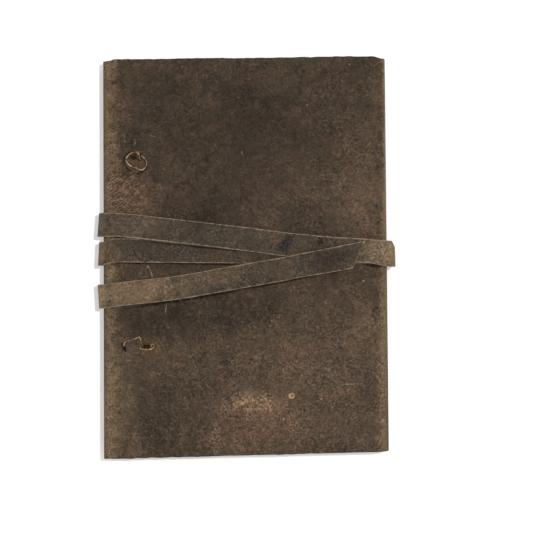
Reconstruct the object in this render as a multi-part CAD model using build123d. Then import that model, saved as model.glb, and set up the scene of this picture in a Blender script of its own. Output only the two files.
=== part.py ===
from build123d import *
import os
from math import atan2, degrees, radians, tan

# A soft leather journal, closed, lying front cover up with its spine at -X.
# All lengths are millimetres. The book is modelled level, with the outer face
# of its back cover at height zero, and is laid down on its strap at the end.

# Leather cover: one folded sheet whose fore-edges bend round the pages.
cover_height = 178.2
cover_width = 126.8
tail_flare = 1.6
spine_lean = 0.4
head_edge_rise = 1.2
tail_edge_rise = 3.6
leather_thickness = 1.9
spine_radius = 6.0
head_bend_radius = 3.0
tail_bend_radius = 6.5
back_bend_radius = 3.0
fold_lead = 1.2
front_lip = 7.6
back_lip = 4.6

# Page block.
page_block_thickness = 13.2
page_gap = 0.1
page_inset_head = 3.0
page_inset_tail = 3.2
page_inset_fore = 0.3

# Wrapping strap. Its three front passes fan out at the spine and gather at the fore-edge.
strap_width = 10.6
strap_thickness = 1.8
layer_gap = 0.15
fan_upper_y = 15.4
fan_middle_y = 2.4
fan_lower_y = -16.7
gather_y = 2.9
turn_lead = 0.5
fan_margin = 0.4
upper_knee_rise = 1.2
upper_edge_droop = 0.9
middle_settle_y = 4.0
lower_dip = 0.9
end_inset = 7.2
end_skew = 5.1
end_y = 2.5
anchor_length = 13.4

# Where the strap's stations lie along a pass, as shares of the pass from spine to fore-edge.
knee_share = 0.845
first_lift_share = 0.055
half_lift_share = 0.4
full_lift_share = 0.6
middle_settle_share = 0.09
lower_dip_share = 0.3
lower_land_share = 0.635

# Thread that sews the start of the strap to the back cover, in two rows.
stitch_thread = 0.7
stitch_length = 3.0
stitches_per_row = 3
stitch_row_offset = 3.2
stitch_gap = 0.08

# Binding ties: cord that goes down through the book near the spine and back up.
cord_diameter = 0.75
strand_diameter = 0.5
tie_hole = 1.25
tie_lift = 0.05
tie_hole_bend = 0.65
soft_turn_deg = 60.0
arc_share = 0.45
knot_radius = 0.8

upper_tie_inset = 15.4
upper_tie_y = 43.7
upper_hole_a = (2.24, 2.46)
upper_hole_b = (1.39, 0.75)
upper_knot = (0.72, 3.62)
upper_knot_in = (0.27, 3.82)
upper_knot_out = (1.12, 3.28)
upper_ring = [
    (3.3, 1.6), (4.6, -0.2), (4.3, -2.3), (3.1, -3.8), (1.6, -3.95), (0.1, -3.0),
    (-2.0, -2.6), (-3.9, -1.2), (-4.7, 0.6), (-3.9, 2.6), (-2.3, 3.8), (-0.7, 4.15),
]

lower_tie_inset = 16.6
lower_tie_y = -37.7
left_slit = (-6.8, -1.83)
left_slit_length = 3.6
left_slit_deg = -72.0
right_slit = (2.9, -1.12)
right_slit_length = 5.4
slit_width = 1.25
left_leg = (-7.1, -0.95)
right_leg = (4.8, -1.1)
strand_leg = (1.2, -1.1)
strand_depth = 2.4
hook = [(-0.3, -1.7), (2.0, -2.6), (5.2, -2.4), (6.7, -1.2), (6.1, -0.1)]
cord_end = (-6.95, 0.3)
strand = [(-7.0, 0.0), (-6.7, 0.95), (-4.0, 1.6), (-1.1, 2.65), (-0.25, 3.5), (0.45, 1.9)]

# Places that follow from the sizes above.
block_low = leather_thickness + page_gap
block_high = block_low + page_block_thickness
book_thickness = block_high + page_gap + leather_thickness
half_height = cover_height / 2
head_width = cover_width - tail_flare / 2
tail_width = cover_width + tail_flare / 2
mid_bend_radius = (head_bend_radius + tail_bend_radius) / 2
fold_reach = max(head_bend_radius, tail_bend_radius) + fold_lead
strap_half = strap_width / 2
layer_step = strap_thickness + layer_gap


def along(start, end, share):
    return start + (end - start) * share


def spine_x(y):
    """The X of the cover's spine edge at a height up the book."""
    return spine_lean * (half_height - y) / cover_height - cover_width / 2


def fore_x(y):
    """The X of the cover's fore-edge at a height up the book."""
    width = along(head_width, tail_width, (half_height - y) / cover_height)
    return spine_x(y) + width


upper_tie_at = (spine_x(upper_tie_y) + upper_tie_inset, upper_tie_y)
lower_tie_at = (spine_x(lower_tie_y) + lower_tie_inset, lower_tie_y)

# Each pass of the strap runs between these two places, where its turns begin.
left_turn_x = spine_x(fan_upper_y + strap_half) + spine_radius + turn_lead
right_turn_x = fore_x(gather_y - strap_half) - mid_bend_radius - turn_lead
pass_length = right_turn_x - left_turn_x


def layer(count):
    """The height of the inner face of a strap layer, out from the cover."""
    return layer_gap + (count - 1) * layer_step


# The last pass under the book crosses clear of the one before it here, and from
# there to the spine it comes down by one layer, so that the book rests tilted.
back_fan_spread = fan_upper_y - fan_lower_y
cross_share = 1 - (strap_width + fan_margin) / back_fan_spread
rest_slope = layer_step / (pass_length * cross_share)
rest_tilt = degrees(atan2(rest_slope, 1))
last_pass_fall = pass_length * rest_slope


def panel_section():
    """The sheet seen from the tail, without its fore-edge bends: front, spine and back."""
    inner_spine = spine_radius - leather_thickness
    inner_top = book_thickness - leather_thickness
    points = [
        (cover_width, book_thickness),
        (0, book_thickness),
        (0, 0),
        (cover_width, 0),
        (cover_width, leather_thickness),
        (leather_thickness, leather_thickness),
        (leather_thickness, inner_top),
        (cover_width, inner_top),
    ]
    radii = [0, spine_radius, spine_radius, 0, 0, inner_spine, inner_spine, 0]
    return make_face(Plane.XZ * FilletPolyline(*points, radius=radii, close=True))


def fold_section(width, outer_z, inward, bend, lip):
    """A fore-edge bend seen from the tail. Inward is 1 if the pages lie above, else -1."""
    start = width - fold_reach
    inner_x = width - leather_thickness
    inner_z = outer_z + inward * leather_thickness
    lip_z = outer_z + inward * lip
    points = [
        (start, outer_z),
        (width, outer_z),
        (width, lip_z),
        (inner_x, lip_z),
        (inner_x, inner_z),
        (start, inner_z),
    ]
    radii = [0, bend, 0, 0, bend - leather_thickness, 0]
    return make_face(Plane.XZ * FilletPolyline(*points, radius=radii, close=True))


def tie_holes(low, high):
    """Cutters for the two round holes and the two slits, as (x, y) offsets of each tie."""
    depth = high - low
    cutters = []
    for at in (upper_hole_a, upper_hole_b):
        place = (upper_tie_at[0] + at[0], upper_tie_at[1] + at[1], low)
        cutters.append(extrude(Pos(*place) * Circle(tie_hole / 2), depth))
    slits = [(left_slit, left_slit_length, left_slit_deg), (right_slit, right_slit_length, 0)]
    for at, length, turn in slits:
        place = (lower_tie_at[0] + at[0], lower_tie_at[1] + at[1], low)
        slit = SlotOverall(length, slit_width)
        cutters.append(extrude(Pos(*place) * Rot(0, 0, turn) * slit, depth))
    return cutters


def anchor_rows():
    """The Y of each row of stitches at the start of the strap."""
    return [fan_middle_y + stitch_row_offset, fan_middle_y - stitch_row_offset]


def stitch_row(y, gap):
    """A row of thread seen from the tail as a ladder: a run on each face, a leg in each hole."""
    leg = stitch_thread + 2 * gap
    top = leather_thickness + gap
    bottom = -layer_step - gap
    spread = stitch_length * stitches_per_row
    first_x = left_turn_x + (anchor_length - spread) / 2
    row = Pos(first_x + spread / 2, (top + bottom) / 2) * Rectangle(spread + leg, top - bottom)
    for stitch in range(stitches_per_row):
        window = Rectangle(stitch_length - leg, top - bottom - 2 * leg)
        row -= Pos(first_x + stitch_length * (stitch + 0.5), (top + bottom) / 2) * window
    return extrude(Pos(0, y, 0) * (Plane.XZ * row), leg / 2, both=True)


def make_cover():
    head_turn = degrees(atan2(head_edge_rise, head_width))
    tail_turn = degrees(atan2(tail_edge_rise, tail_width))
    head_place = Pos(spine_x(half_height), half_height, 0) * Rot(0, 0, head_turn)
    tail_place = Pos(spine_x(-half_height), -half_height, 0) * Rot(0, 0, tail_turn)

    corners = [
        head_place * Pos(-spine_radius, 0, 0),
        head_place * Pos(head_width - fold_reach, 0, 0),
        tail_place * Pos(tail_width - fold_reach, 0, 0),
        tail_place * Pos(-spine_radius, 0, 0),
    ]
    plan = make_face(Polyline(*[corner.position for corner in corners], close=True))
    lean = Pos(spine_x(0), 0, 0) * Rot(0, 0, degrees(atan2(spine_lean, cover_height)))
    cover = lean * extrude(panel_section(), cover_height, both=True)
    cover &= extrude(plan, book_thickness)
    for cutter in tie_holes(0, book_thickness):
        cover -= cutter
    for y in anchor_rows():
        cover -= stitch_row(y, stitch_gap)

    folds = [
        (book_thickness, -1, head_bend_radius, tail_bend_radius, front_lip),
        (0, 1, back_bend_radius, back_bend_radius, back_lip),
    ]
    for outer_z, inward, head_bend, tail_bend, lip in folds:
        head = head_place * fold_section(head_width, outer_z, inward, head_bend, lip)
        tail = tail_place * fold_section(tail_width, outer_z, inward, tail_bend, lip)
        cover += loft([head, tail], ruled=True)
    return cover


def make_page_block():
    """The leaves as one block, with a spine that is rounded to fit inside the leather."""
    spine_side = spine_x(-half_height) + leather_thickness + page_gap
    tail_limit = fore_x(-half_height) - tail_bend_radius
    head_limit = fore_x(half_height) - head_bend_radius
    fore_side = min(head_limit, tail_limit) - page_inset_fore
    back_radius = spine_radius - leather_thickness - page_gap
    points = [
        (fore_side, block_low),
        (spine_side, block_low),
        (spine_side, block_high),
        (fore_side, block_high),
    ]
    radii = [0, back_radius, back_radius, 0]
    end = make_face(Plane.XZ * FilletPolyline(*points, radius=radii, close=True))
    head_y = half_height - page_inset_head
    tail_y = tail_edge_rise + page_inset_tail - half_height
    middle = Pos(0, (head_y + tail_y) / 2, 0)
    block = extrude(middle * end, (head_y - tail_y) / 2, both=True)
    for cutter in tie_holes(0, book_thickness):
        block -= cutter
    return block


def pass_x(share):
    """The X at a share of the way along a pass, from its spine turn to its fore-edge turn."""
    return left_turn_x + pass_length * share


def flat_pass(places, heights, skew=0):
    """A pass with no twist, cut from its outline from above by its outline from the tail.

    Places are points (x, y) of its middle line and heights are points (x, z) of its
    lower face. The skew is how much further its last end reaches at the upper edge.
    """
    upper = [(x, y + strap_half) for x, y in places]
    lower = [(x, y - strap_half) for x, y in places]
    upper.append(tuple(Vector(upper.pop()) + Vector(skew / 2, 0))[:2])
    lower.append(tuple(Vector(lower.pop()) - Vector(skew / 2, 0))[:2])
    above = [(x, z + strap_thickness) for x, z in heights]
    plan = make_face(Polyline(*upper, *lower[::-1], close=True))
    side = make_face(Plane.XZ * Polyline(*above, *heights[::-1], close=True))
    return extrude(plan, cover_height, both=True) & extrude(side, cover_height, both=True)


def station(share, y, upper_height, lower_height):
    """A section of a twisted pass over the front cover, between its two edges."""
    rise = Vector(0, 0, strap_thickness)
    upper = Vector(pass_x(share), y + strap_half, book_thickness + upper_height)
    lower = Vector(pass_x(share), y - strap_half, book_thickness + lower_height)
    return make_face(Polyline(upper, lower, lower + rise, upper + rise, close=True))


def middle_front_pass():
    """The first pass over the front, which lies on the cover."""
    shares = [0, middle_settle_share, 1]
    ys = [fan_middle_y, middle_settle_y, gather_y]
    level = book_thickness + layer(1)
    places = [(pass_x(share), y) for share, y in zip(shares, ys)]
    return flat_pass(places, [(pass_x(0), level), (pass_x(1), level)])


def upper_front_pass():
    """The second pass over the front, which rolls up on to the first."""
    knee_y = gather_y + upper_knee_rise
    sections = [station(0, fan_upper_y, layer(1), layer(1))]
    lifts = [
        (first_lift_share, layer(1) + layer_gap, layer(2)),
        (half_lift_share, layer(2) - upper_edge_droop, layer(2) + upper_edge_droop),
        (full_lift_share, layer(2), layer(2)),
        (knee_share, layer(2), layer(2)),
    ]
    for share, upper_height, lower_height in lifts:
        y = along(fan_upper_y, knee_y, share / knee_share)
        sections.append(station(share, y, upper_height, lower_height))
    sections.append(station(1, gather_y, layer(2), layer(2)))
    return loft(sections, ruled=True)


def lower_front_pass():
    """The last pass over the front, which rises over both others to the strap's cut end."""
    end_x = right_turn_x - end_inset
    end_share = (end_x - left_turn_x) / pass_length
    places = [(pass_x(0), fan_lower_y)]
    for share in (lower_dip_share, lower_land_share):
        y = along(fan_lower_y, end_y, share / end_share) - lower_dip
        places.append((pass_x(share), y))
    places.append((end_x, end_y))
    start = book_thickness + layer(1)
    top = book_thickness + layer(3)
    heights = [(pass_x(0), start), (pass_x(lower_land_share), top), (end_x + end_skew, top)]
    return flat_pass(places, heights, end_skew)


def back_pass(start_y, end_y, length, fall):
    """A straight pass under the back cover, which falls away from it towards the fore-edge."""
    level = -layer_step
    end_x = left_turn_x + length
    places = [(left_turn_x, start_y), (end_x, end_y)]
    return flat_pass(places, [(left_turn_x, level), (end_x, level - fall)])


def strap_passes():
    """The straight lengths of the strap, from its sewn start to its cut end."""
    return [
        back_pass(fan_middle_y, fan_middle_y, anchor_length, 0),
        middle_front_pass(),
        back_pass(fan_upper_y, gather_y, pass_length, 0),
        upper_front_pass(),
        back_pass(fan_lower_y, gather_y, pass_length, last_pass_fall),
        lower_front_pass(),
    ]


def turn_round_edge(x, y, reach, radii, top, bottom):
    """The strap going round an edge of the book towards +X, from front to back."""
    outer = reach + strap_thickness
    points = [
        (0, top + strap_thickness),
        (outer, top + strap_thickness),
        (outer, bottom - strap_thickness),
        (0, bottom - strap_thickness),
        (0, bottom),
        (reach, bottom),
        (reach, top),
        (0, top),
    ]
    outer_radii = [radius + strap_thickness for radius in radii]
    bends = [0] + outer_radii + [0, 0] + radii[::-1] + [0]
    band = make_face(Plane.XZ * FilletPolyline(*points, radius=bends, close=True))
    return Pos(x, y, 0) * extrude(band, strap_half, both=True)


def make_strap():
    top = book_thickness + layer(1)
    spine_bend = spine_radius + layer_gap
    spine_reach = spine_bend + turn_lead
    spine_turn = turn_round_edge(0, 0, spine_reach, [spine_bend] * 2, top, -layer(1))
    spine_turn = mirror(spine_turn, about=Plane.YZ)

    reach = mid_bend_radius + layer_gap + turn_lead
    bends = [mid_bend_radius + layer_gap, back_bend_radius + layer_gap]
    strap = turn_round_edge(right_turn_x, gather_y, reach, bends, top, -layer(1))
    reach += layer_step
    bends = [bend + layer_step for bend in bends]
    last_bottom = -layer(1) - last_pass_fall
    top += layer_step
    strap += turn_round_edge(right_turn_x, gather_y, reach, bends, top, last_bottom)

    for y in (fan_upper_y, fan_middle_y, fan_lower_y):
        strap += Pos(left_turn_x, y, 0) * spine_turn
    for piece in strap_passes():
        strap += piece
    for y in anchor_rows():
        strap -= stitch_row(y, stitch_gap)
    return strap


def bend_radii(points):
    """The radius at each corner of a cord: as large as its runs allow, or tight at a hole."""
    radii = []
    for before, here, after in zip(points, points[1:], points[2:]):
        run_in = Vector(here) - Vector(before)
        run_out = Vector(after) - Vector(here)
        turn = run_in.get_angle(run_out)
        radius = arc_share * min(run_in.length, run_out.length) / tan(radians(turn / 2))
        if turn > soft_turn_deg:
            radius = min(radius, tie_hole_bend)
        radii.append(radius)
    return radii


def cord(points, diameter):
    """A round cord along straight runs joined by tangent arcs."""
    path = FilletPolyline(*points, radius=bend_radii(points))
    section = Plane(path @ 0, z_dir=path % 0) * Circle(diameter / 2)
    return sweep(section, path)


def lying(places, at):
    """Points of a cord that lies on the front cover."""
    height = book_thickness + tie_lift + cord_diameter / 2
    return [(at[0] + x, at[1] + y, height) for x, y in places]


def under(places, at):
    """Points of a cord that runs on the outside of the back cover."""
    return [(at[0] + x, at[1] + y, -tie_lift - cord_diameter / 2) for x, y in places]


def make_upper_tie():
    """A cord tied in a heart-shaped ring that lies on the cover, with a knot at its head."""
    down = lying([upper_knot_out, upper_hole_b], upper_tie_at)
    back = under([upper_hole_b, upper_hole_a], upper_tie_at)
    ring = lying([upper_hole_a] + upper_ring + [upper_knot_in], upper_tie_at)
    knot_z = book_thickness + tie_lift + knot_radius
    knot = Pos(upper_tie_at[0] + upper_knot[0], upper_tie_at[1] + upper_knot[1], knot_z)
    return cord(down + back + ring, cord_diameter) + knot * Sphere(knot_radius)


def make_lower_tie():
    """A broken cord: a thick hook at one slit and a thin strand drawn from the other."""
    down = lying(hook + [right_leg], lower_tie_at)
    back = under([right_leg, left_leg], lower_tie_at)
    up = lying([left_leg, cord_end], lower_tie_at)
    over = lying(strand + [strand_leg], lower_tie_at)
    x, y, height = over[-1]
    over.append((x, y, height - strand_depth))
    return cord(down + back + up, cord_diameter) + cord(over, strand_diameter)


parts = {
    "leather_cover": make_cover(),
    "page_block": make_page_block(),
    "wrap_strap": make_strap(),
    "upper_binding_tie": make_upper_tie(),
    "lower_binding_tie": make_lower_tie(),
}
for row_name, row_y in zip(("upper_stitch_row", "lower_stitch_row"), anchor_rows()):
    parts[row_name] = stitch_row(row_y, 0)

# The book is tilted on to the last pass of the strap, and the origin is the
# middle of the footprint, at the height of the table.
tilted = {name: Rot(0, -rest_tilt, 0) * shape for name, shape in parts.items()}
boxes = [shape.bounding_box() for shape in tilted.values()]
left, right = min(box.min.X for box in boxes), max(box.max.X for box in boxes)
tail, head = min(box.min.Y for box in boxes), max(box.max.Y for box in boxes)
lowest = min(box.min.Z for box in boxes)
settle = Pos(-(left + right) / 2, -(tail + head) / 2, -lowest)

os.makedirs("parts", exist_ok=True)
for name, shape in tilted.items():
    export_step(settle * shape, f"parts/{name}.step")
print("rest tilt", round(rest_tilt, 3), "width", right - left, "height", head - tail)
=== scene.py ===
"""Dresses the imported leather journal: cover, leaves, strap, ties and stitches, in a plain studio."""

import logging
import math
import random
from abc import ABC, abstractmethod
from collections.abc import Callable, Iterator, Sequence
from contextlib import contextmanager
from dataclasses import dataclass, field
from enum import Enum

import bmesh
import bpy
from mathutils import Matrix, Vector, noise


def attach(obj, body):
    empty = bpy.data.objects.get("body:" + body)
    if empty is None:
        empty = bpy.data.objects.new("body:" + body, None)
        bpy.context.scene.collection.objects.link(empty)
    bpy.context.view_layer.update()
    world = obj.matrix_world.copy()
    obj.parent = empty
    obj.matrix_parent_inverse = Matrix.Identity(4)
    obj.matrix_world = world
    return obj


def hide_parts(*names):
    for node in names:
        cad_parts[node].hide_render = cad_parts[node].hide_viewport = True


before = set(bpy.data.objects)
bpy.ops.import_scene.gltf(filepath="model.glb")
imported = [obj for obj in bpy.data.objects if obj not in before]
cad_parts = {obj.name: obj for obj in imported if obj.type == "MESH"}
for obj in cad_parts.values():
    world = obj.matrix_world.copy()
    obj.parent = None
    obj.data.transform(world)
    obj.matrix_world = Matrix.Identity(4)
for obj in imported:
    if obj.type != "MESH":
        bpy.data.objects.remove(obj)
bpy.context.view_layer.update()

LOG = logging.getLogger("leather_journal")
Spot = tuple[float, float]
Place = tuple[float, float, float]
Colour = tuple[float, float, float]
Piece = bpy.types.Object
Socket = bpy.types.NodeSocket
Value = float | Place | Socket

# Metres in a millimetre: pieces are made level and in millimetres, then laid down in the frame
MM = 0.001
# Points nearer to each other than this, in millimetres, are merged
MERGE = 0.001

# The shift of the noise that breaks every mark's outline, and of the noise of every fleck
MARK_SEED = 57.0
FLECK_SEED = 9.0
# The height in millimetres at which marks of the front start, and where they reach their strength
FRONT_HALF = (12.0, 15.0)

# Where the ties come through the cover, each from its own tie's place
UPPER_TIE = (-47.8981, 43.7)
LOWER_TIE = (-46.5154, -37.7)
UPPER_HOLES = ((2.24, 2.46), (1.39, 0.75))
# Each slit's middle, length and turn in degrees
LOWER_SLITS = (((-6.8, -1.83), 3.6, -72.0), ((2.9, -1.12), 5.4, 0.0))
# The heights up the book of the two rows of stitches under the back cover
STITCH_ROWS = (5.6, -0.8)


class Side(Enum):
    """Where on the book's thickness a mark shows."""

    FRONT = 1
    BOTH = 0


def put_down_everything() -> None:
    """Leaves edit mode and deselects all objects."""
    if bpy.context.object and bpy.context.object.mode != "OBJECT":
        bpy.ops.object.mode_set(mode="OBJECT")
    bpy.ops.object.select_all(action="DESELECT")


def take(*pieces: Piece) -> None:
    """Selects only these pieces, the first one active.

    Args:
        pieces: The objects that the next operator works on.
    """
    put_down_everything()
    for piece in pieces:
        piece.select_set(True)
    bpy.context.view_layer.objects.active = pieces[0]


@contextmanager
def on_the_bench(piece: Piece) -> Iterator[bmesh.types.BMesh]:
    """Opens a piece in edit mode and closes it again.

    Args:
        piece: The mesh object to edit.

    Returns:
        The edit mesh, for choosing what the next operator works on.
    """
    take(piece)
    bpy.ops.object.mode_set(mode="EDIT")
    yield bmesh.from_edit_mesh(piece.data)
    bpy.ops.object.mode_set(mode="OBJECT")


def pick_all() -> None:
    """Selects the whole mesh, in edit mode."""
    bpy.ops.mesh.select_all(action="SELECT")


def pick(piece: Piece, rule: Callable[[Vector], bool]) -> None:
    """Selects the points that a rule on their place accepts, in edit mode.

    Args:
        piece: The object in edit mode.
        rule: Says of a point's place whether it is chosen.
    """
    mesh = bmesh.from_edit_mesh(piece.data)
    for point in mesh.verts:
        point.select = rule(point.co)
    mesh.select_flush_mode()
    bmesh.update_edit_mesh(piece.data)


@contextmanager
def chain_from(place: Place) -> Iterator[Piece]:
    """Starts a piece as one picked point, open for extruding, and closes it again.

    Args:
        place: Where the point lies.

    Returns:
        The piece.
    """
    bpy.ops.object.select_all(action="DESELECT")
    bpy.ops.mesh.primitive_plane_add(size=1.0, location=(0, 0, 0))
    piece = bpy.context.object
    with on_the_bench(piece):
        pick_all()
        bpy.ops.mesh.merge(type="CENTER")
        bpy.ops.transform.translate(value=place)
        yield piece


def run(way: Place, steps: int) -> None:
    """Extrudes what is picked along a straight run in even steps.

    Args:
        way: The whole run.
        steps: How many steps it takes.
    """
    step = tuple(part / steps for part in way)
    for _ in range(steps):
        bpy.ops.mesh.extrude_region_move(TRANSFORM_OT_translate={"value": step})


def bend(middle: Place, degrees: float, steps: int) -> None:
    """Spins what is picked round a bend whose axis lies along the book.

    Args:
        middle: The bend's middle.
        degrees: How far it goes round.
        steps: How many steps it takes.
    """
    bpy.ops.mesh.spin(steps=steps, angle=math.radians(degrees), center=middle, axis=(0, 1, 0))


def stand(name: str, data: bpy.types.ID) -> Piece:
    """Makes an object of a mesh, curve, lamp or camera.

    Args:
        name: The object's name.
        data: What it holds.

    Returns:
        The object, in the scene.
    """
    holder = bpy.data.objects.new(name, data)
    bpy.context.collection.objects.link(holder)
    return holder


def settle(piece: Piece) -> None:
    """Moves a piece's place, turn and scale into its mesh."""
    take(piece)
    bpy.ops.object.transform_apply(location=True, rotation=True, scale=True)


def face_out(sheet: Piece) -> None:
    """Turns a wound sheet's faces all one way, the topmost one up.

    Args:
        sheet: The open sheet.
    """
    with on_the_bench(sheet):
        pick_all()
        bpy.ops.mesh.normals_make_consistent(inside=False)
    top = max(sheet.data.polygons, key=lambda face: face.center.z)
    if top.normal.z < 0:
        with on_the_bench(sheet):
            pick_all()
            bpy.ops.mesh.flip_normals()


def finish_with(piece: Piece, kind: str, **settings: object) -> None:
    """Adds one modifier and applies it.

    Args:
        piece: The mesh object.
        kind: The modifier's type.
        settings: The modifier's values.
    """
    take(piece)
    modifier = piece.modifiers.new(kind.title(), kind)
    for name, value in settings.items():
        setattr(modifier, name, value)
    bpy.ops.object.modifier_apply(modifier=modifier.name)


def thicken(sheet: Piece, leather: float, offset: float, edge_round: float,
            material: int = -1) -> None:
    """Gives a sheet of leather its thickness, a slot for each kind of face and rounded cut edges.

    Args:
        sheet: The open sheet.
        leather: How thick it gets.
        offset: Which way, from -1 for inwards to 1 for outwards.
        edge_round: How far its edges are rounded.
        material: The slot that the rounding gets, where it gets one.
    """
    for index in range(3):
        sheet.data.materials.append(bpy.data.materials.new(f"blank_{index}"))
    finish_with(sheet, "SOLIDIFY", thickness=leather, offset=offset, use_even_offset=True, use_rim=True,
                material_offset=1, material_offset_rim=2)
    finish_with(sheet, "BEVEL", width=edge_round, segments=2, limit_method="ANGLE",
                angle_limit=math.radians(55), material=material)


def join(name: str, pieces: Sequence[Piece]) -> Piece:
    """Joins pieces into one object.

    Args:
        name: The new object's name.
        pieces: The objects to join.

    Returns:
        The joined object.
    """
    take(*pieces)
    if len(pieces) > 1:
        bpy.ops.object.join()
    whole = bpy.context.object
    whole.name = whole.data.name = name
    return whole


def shape(piece: Piece, move: Callable[[Vector], Vector]) -> None:
    """Pushes a soft piece's points one by one.

    Args:
        piece: The mesh object.
        move: Gives each point's new place.
    """
    for point in piece.data.vertices:
        point.co = move(point.co.copy())
    piece.data.update()


def smooth(piece: Piece, degrees: float = 50.0) -> None:
    """Shades a piece smooth but for its sharp edges."""
    take(piece)
    bpy.ops.object.shade_smooth_by_angle(angle=math.radians(degrees))


def ripple(place: Vector, size: float, seed: float) -> float:
    """A smooth uneven value from -1 to 1 for a place on the bench."""
    return noise.noise(place / size + Vector((seed, seed * 1.7, -seed)))


def between(start: float, end: float, share: float) -> float:
    """A value part of the way from one to another."""
    return start + (end - start) * share


def ease(share: float) -> float:
    """A share from 0 to 1 that starts and ends gently."""
    share = min(max(share, 0.0), 1.0)
    return share * share * (3.0 - 2.0 * share)


def read_stops(stops: Sequence[Spot], share: float) -> float:
    """Reads a value between stops.

    Args:
        stops: Pairs of a share of the way and the value there.
        share: The share to read at.

    Returns:
        The value there.
    """
    for (start, low), (end, high) in zip(stops, stops[1:]):
        if share <= end:
            return between(low, high, (share - start) / (end - start))
    return stops[-1][1]


@dataclass(frozen=True)
class Book:
    """The book's own sizes in millimetres, level, with its back cover's outer face at zero."""

    height: float = 178.2
    head_width: float = 126.0
    tail_width: float = 127.6
    spine_lean: float = 0.4
    head_rise: float = 1.2
    tail_rise: float = 3.6
    leather: float = 1.9
    thickness: float = 17.2
    spine_radius: float = 6.0
    head_bend: float = 3.0
    tail_bend: float = 6.5
    back_bend: float = 3.0
    front_lip: float = 7.6
    back_lip: float = 4.6
    rest_tilt: float = 1.4761
    rest_shift: Place = (-0.9949, -0.6, 3.4267)

    def spine_x(self, y: float) -> float:
        """The X of the spine at a height up the book."""
        middle = (self.head_width + self.tail_width) / 2
        return self.spine_lean * (self.height / 2 - y) / self.height - middle / 2

    def fore_x(self, y: float) -> float:
        """The X of the fore-edge at a height up the book."""
        share = (self.height / 2 - y) / self.height
        return self.spine_x(y) + between(self.head_width, self.tail_width, share)

    def lay_down(self, piece: Piece) -> None:
        """Tilts a piece made on the level book on to its strap, in metres.

        Args:
            piece: The object, made in millimetres.
        """
        rest = Matrix.Translation(self.rest_shift) @ Matrix.Rotation(math.radians(-self.rest_tilt), 4, "Y")
        piece.matrix_world = Matrix.Scale(MM, 4) @ rest
        bpy.context.view_layer.update()
        settle(piece)


BOOK = Book()


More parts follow.
